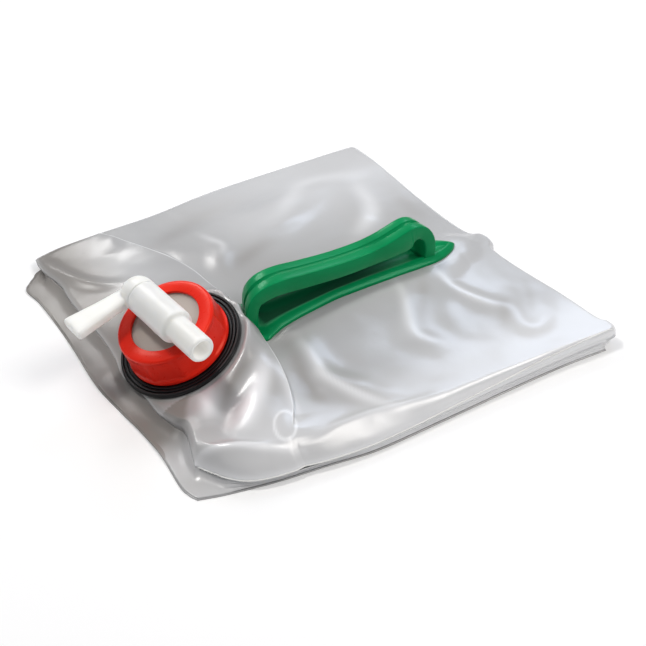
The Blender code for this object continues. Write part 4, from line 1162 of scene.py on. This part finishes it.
disc = placed("disc", spun(bar(DISC_R, DISC_BASE, DISC_TOP, 0.3), LATHE_STEPS), NECK_FRAME)
stub = placed("stub", spun(bar(STUB_R, DISC_TOP - 0.9, BARREL_AXIS)), NECK_FRAME)
barrel = placed("barrel", spun(barrel_profile), TAP_FRAME)
bore = placed("bore", spun(bore_profile), TAP_FRAME)
port = placed("port", spun(bar(PORT_R, DISC_BASE - 2, BARREL_AXIS)), NECK_FRAME)
tap = fused("tap_moulding", [disc, stub, barrel], [bore, port], TAP_VOXEL, tap_finish.material, 3)
# Where the painted shade lies: the disc, up to just over its top face
heights = places_in(NECK_FRAME, tap.data)[2]
mark(tap.data, "painted_disc_shade", 1 - ramp(heights, DISC_TOP + 0.1, DISC_TOP + 0.6))
# Where the painted glow lies: in the waterway, beyond the plug's seat
x, y, z = places_in(TAP_FRAME, tap.data)
in_bore = 1 - ramp(np.hypot(x, y), WATERWAY_R + 0.3, WATERWAY_R + 0.9)
mark(tap.data, "lit_inside", in_bore * (z > PLUG_SEAT_TO))
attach(tap, "tap")
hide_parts("tap_body")


# Plug: the turning half of the tap, in the same white plastic. A domed head with a flared
# lever closes the barrel's end, and its hollow shank lets water through when the lever is up.
HEAD_FROM = BARREL_FROM - REST_GAP
HEAD_TIP = -27
SHANK_R = PLUG_SEAT_R - REST_GAP
SHANK_END = PLUG_SEAT_TO - REST_GAP
HOLLOW_FROM = -7
LEVER_AT = -20.5
LEVER_LENGTH = 40
LEVER_RISE = math.radians(12)
# Lever sections: share of its length, width, thickness
LEVER_SECTIONS = (
    (0.06, 11, 6.6), (0.2, 10.8, 6.4), (0.4, 11.6, 6.2), (0.6, 13.2, 6.2), (0.8, 15.2, 6.2),
    (0.93, 16.6, 6.2), (0.975, 16.5, 5.9), (0.995, 15.6, 5), (1, 14.4, 4),
)
LEVER_STEPS = 40
LEVER_ROUNDNESS = 0.42
DOME_STEPS = 12
PLUG_VOXEL = 0.38


def lever_mesh():
    bm = bmesh.new()
    rings = []
    for share, width, thickness in LEVER_SECTIONS:
        ring = []
        for step in range(LEVER_STEPS):
            c, s, _ = around(1, math.tau * step / LEVER_STEPS, 0)
            across = 0.5 * width * math.copysign(abs(c) ** LEVER_ROUNDNESS, c)
            out = 0.5 * thickness * math.copysign(abs(s) ** LEVER_ROUNDNESS, s)
            ring.append(bm.verts.new((out, -LEVER_LENGTH * share, across)))
        rings.append(ring)
    tube(bm, rings)
    return bm


head_profile = [
    (0, SHANK_END), (SHANK_R, SHANK_END), (SHANK_R, HEAD_FROM), (BARREL_R - 0.5, HEAD_FROM),
    (BARREL_R, HEAD_FROM - 0.5),
]
for step in range(DOME_STEPS + 1):
    turn = 0.5 * math.pi * step / DOME_STEPS
    head_profile.append((BARREL_R * math.cos(turn), HEAD_TIP + BARREL_R * (1 - math.sin(turn))))
LEVER_FRAME = TAP_FRAME @ Matrix.Translation((0, 0, LEVER_AT * MM)) @ Matrix.Rotation(-LEVER_RISE, 4, "Z")
SIDE_PORT = TAP_FRAME @ Matrix.Rotation(math.radians(-90), 4, "X")
head = placed("head", spun(head_profile), TAP_FRAME)
lever = placed("lever", lever_mesh(), LEVER_FRAME)
hollow = placed("hollow", spun(bar(WATERWAY_R, HOLLOW_FROM, SHANK_END + 2)), TAP_FRAME)
side_port = placed("side_port", spun(bar(PORT_R, 0, PLUG_SEAT_R + 2)), SIDE_PORT)
plug_finish = natural_finish("natural_plug")
plug = fused("plug_moulding", [head, lever], [hollow, side_port], PLUG_VOXEL, plug_finish.material, 4)
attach(plug, "plug")
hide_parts("tap_plug")


# Handle: one soft green moulding. Its leaf-shaped base is welded to the top sheet and bends
# with it, and a thick strap, grooved along its back, arches over it to a small loop at the tip.
HANDLE_AT = Vector((24.897, -17.711, 15.1))
HANDLE_FRAME = Matrix.Translation(HANDLE_AT * MM) @ Matrix.Rotation(LINE_TURN, 4, "Z")
BASE_HEIGHT = 3.4
BASE_WIDER_BEHIND = 2.6
# Base section from its edge inwards: inset as a share of the half width, and height
BASE_SECTION = (
    (0, 0), (0, 0.3), (0.025, 0.42), (0.07, 0.52), (0.2, 0.76), (0.33, 0.92), (0.44, 1),
    (0.52, 0.99), (0.6, 0.9), (0.72, 0.76), (0.85, 0.7),
)
# Outer line of the strap: place along half the handle, height and thickness
STRAP_PATH = (
    (-0.985, 0, 0.72), (-0.99, 0.34, 0.74), (-0.978, 0.62, 0.8), (-0.936, 0.82, 0.9),
    (-0.84, 0.96, 0.98), (-0.69, 1, 1), (-0.457, 0.945, 1), (-0.229, 0.9, 1),
    (-0.071, 0.888, 1), (0.1, 0.9, 1), (0.243, 0.95, 1.12), (0.35, 1.02, 1.3),
    (0.43, 1.08, 1.34), (0.49, 1.112, 1.12), (0.545, 1.108, 0.98), (0.6, 1.06, 0.9),
    (0.648, 0.96, 0.8), (0.69, 0.8, 0.72), (0.716, 0.6, 0.7), (0.722, 0.38, 0.7),
    (0.716, 0.16, 0.72),
)
STRAP_RISE = 28.2
STRAP_THICKNESS = 10
STRAP_WIDTH = 13.6
STRAP_WIDTHS = (1.12, 1, 0.94)
# How far the strap's front leads its back along the handle, as a share of its width
STRAP_SKEWS = (0.35, 0, -0.25)
GROOVE = 1.5
STRAP_EDGE = 0.8
HANDLE_SHARP_TURN = math.radians(38)
# Colour of the painted shade in the hollow under the strap
HOLLOW_SHADE_GREEN = (0.0004, 0.045, 0.016, 1)


def three_way(values, at):
    """Run smoothly from the first value to the middle one and on to the last."""
    first, middle, last = values
    return first + (middle - first) * smooth(at, 0, 0.5) + (last - middle) * smooth(at, 0.5, 1)


def base_mesh():
    shares = 0.5 - 0.5 * np.cos(np.linspace(0, np.pi, 110))
    widths = base_half_widths(shares)
    far_widths = widths + BASE_WIDER_BEHIND * ramp(widths, 0, 8)
    bm = bmesh.new()
    sections = []
    for inset, up in BASE_SECTION:
        x = (2 * shares - 1) * (HANDLE_HALF - 8 * inset)
        height = up * BASE_HEIGHT + bed_rise(0.5 + 0.5 * x / HANDLE_HALF) - 0.2
        sides = (-widths * (1 - inset), far_widths * (1 - inset))
        sections.append([[bm.verts.new(place) for place in zip(x, side, height)] for side in sides])
    join(bm, [near + far[::-1] for near, far in sections])
    for near_and_far in (sections[0], sections[-1]):
        join(bm, near_and_far, closed=False)
    return bm


def strap_section(width, thickness):
    """Section across the strap: two broad ridges with a narrow groove between them on its back."""
    w, t, e = 0.5 * width, thickness, STRAP_EDGE
    half = [(w - e, -t), (w - 0.3 * e, -t + 0.3 * e), (w, -t + e), (w, -e), (w - 0.1 * e, -0.45 * e)]
    half += [(w - 0.4 * e, -0.12 * e), (w - e, 0), (0.5 * w, 0.12), (1.4, 0), (0.95, -0.5 * GROOVE)]
    return [(0, -t)] + half + [(0, -GROOVE)] + [(-a, b) for a, b in reversed(half)]


def strap_mesh():
    table = np.array(STRAP_PATH) * (HANDLE_HALF, STRAP_RISE, STRAP_THICKNESS)
    stations = np.linspace(0, 1, 190)
    path = along(table, stations)
    slope = along(table, np.clip(stations + 0.006, 0, 1)) - along(table, np.clip(stations - 0.006, 0, 1))
    slope = slope[:, :2] / np.linalg.norm(slope[:, :2], axis=1)[:, None]
    bm = bmesh.new()
    rings = []
    for share, (x, z, thickness), (tx, tz) in zip(stations, path, slope):
        skew = three_way(STRAP_SKEWS, share)
        ring = []
        for across, out in strap_section(STRAP_WIDTH * three_way(STRAP_WIDTHS, share), thickness):
            ring.append(bm.verts.new((x - out * tz + skew * across, across, z + out * tx)))
        rings.append(ring)
    tube(bm, rings)
    return bm


def painted_hollow_shade(mesh):
    """How much painted shade each vertex gets in the hollow between the base and the strap."""
    x, y, z = places_in(HANDLE_FRAME, mesh)
    facing = np.array([vert.normal.z for vert in mesh.vertices])
    shares = np.clip(0.5 + 0.5 * x / HANDLE_HALF, 0, 1)
    spanned = ramp(np.minimum(shares - 0.05, 0.86 - shares), 0, 0.03) * (1 - 0.5 * smooth(shares, 0.5, 0.78))
    on_base = z < bed_rise(shares) + BASE_HEIGHT + 0.6
    behind = ramp(y / base_half_widths(shares), -0.52, -0.32)
    return spanned * np.where(on_base, behind, ramp(-facing, 0.4, 0.9))


green = moulding("green_moulding", (0.0012, 0.25, 0.08), (0.001, 0.215, 0.068), (0.28, 0.36), 0.4, 0.015)
# Painted shade in the hollow between the base and the strap: a darker green, with less gloss and coat
hollow_shade = green.attribute("hollow_shade")
green.tint(hollow_shade, HOLLOW_SHADE_GREEN)
green.set(Specular_Tint=(0.12, 1, 0.55, 1), Specular_IOR_Level=green.band(hollow_shade, 0, 1, 0.28, 0.05))
green.set(Coat_Roughness=0.06, Coat_Weight=green.band(hollow_shade, 0, 1, 0.09, 0))
handle = placed("handle_moulding", base_mesh(), HANDLE_FRAME, green.material)
strap = placed("strap", strap_mesh(), HANDLE_FRAME)
boolean(handle, "UNION", [strap])
bake(handle).set_sharp_from_angle(angle=HANDLE_SHARP_TURN)
bpy.data.objects.remove(strap, do_unlink=True)
mark(handle.data, "hollow_shade", painted_hollow_shade(handle.data))
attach(handle, "bag_top")
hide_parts("carry_handle")
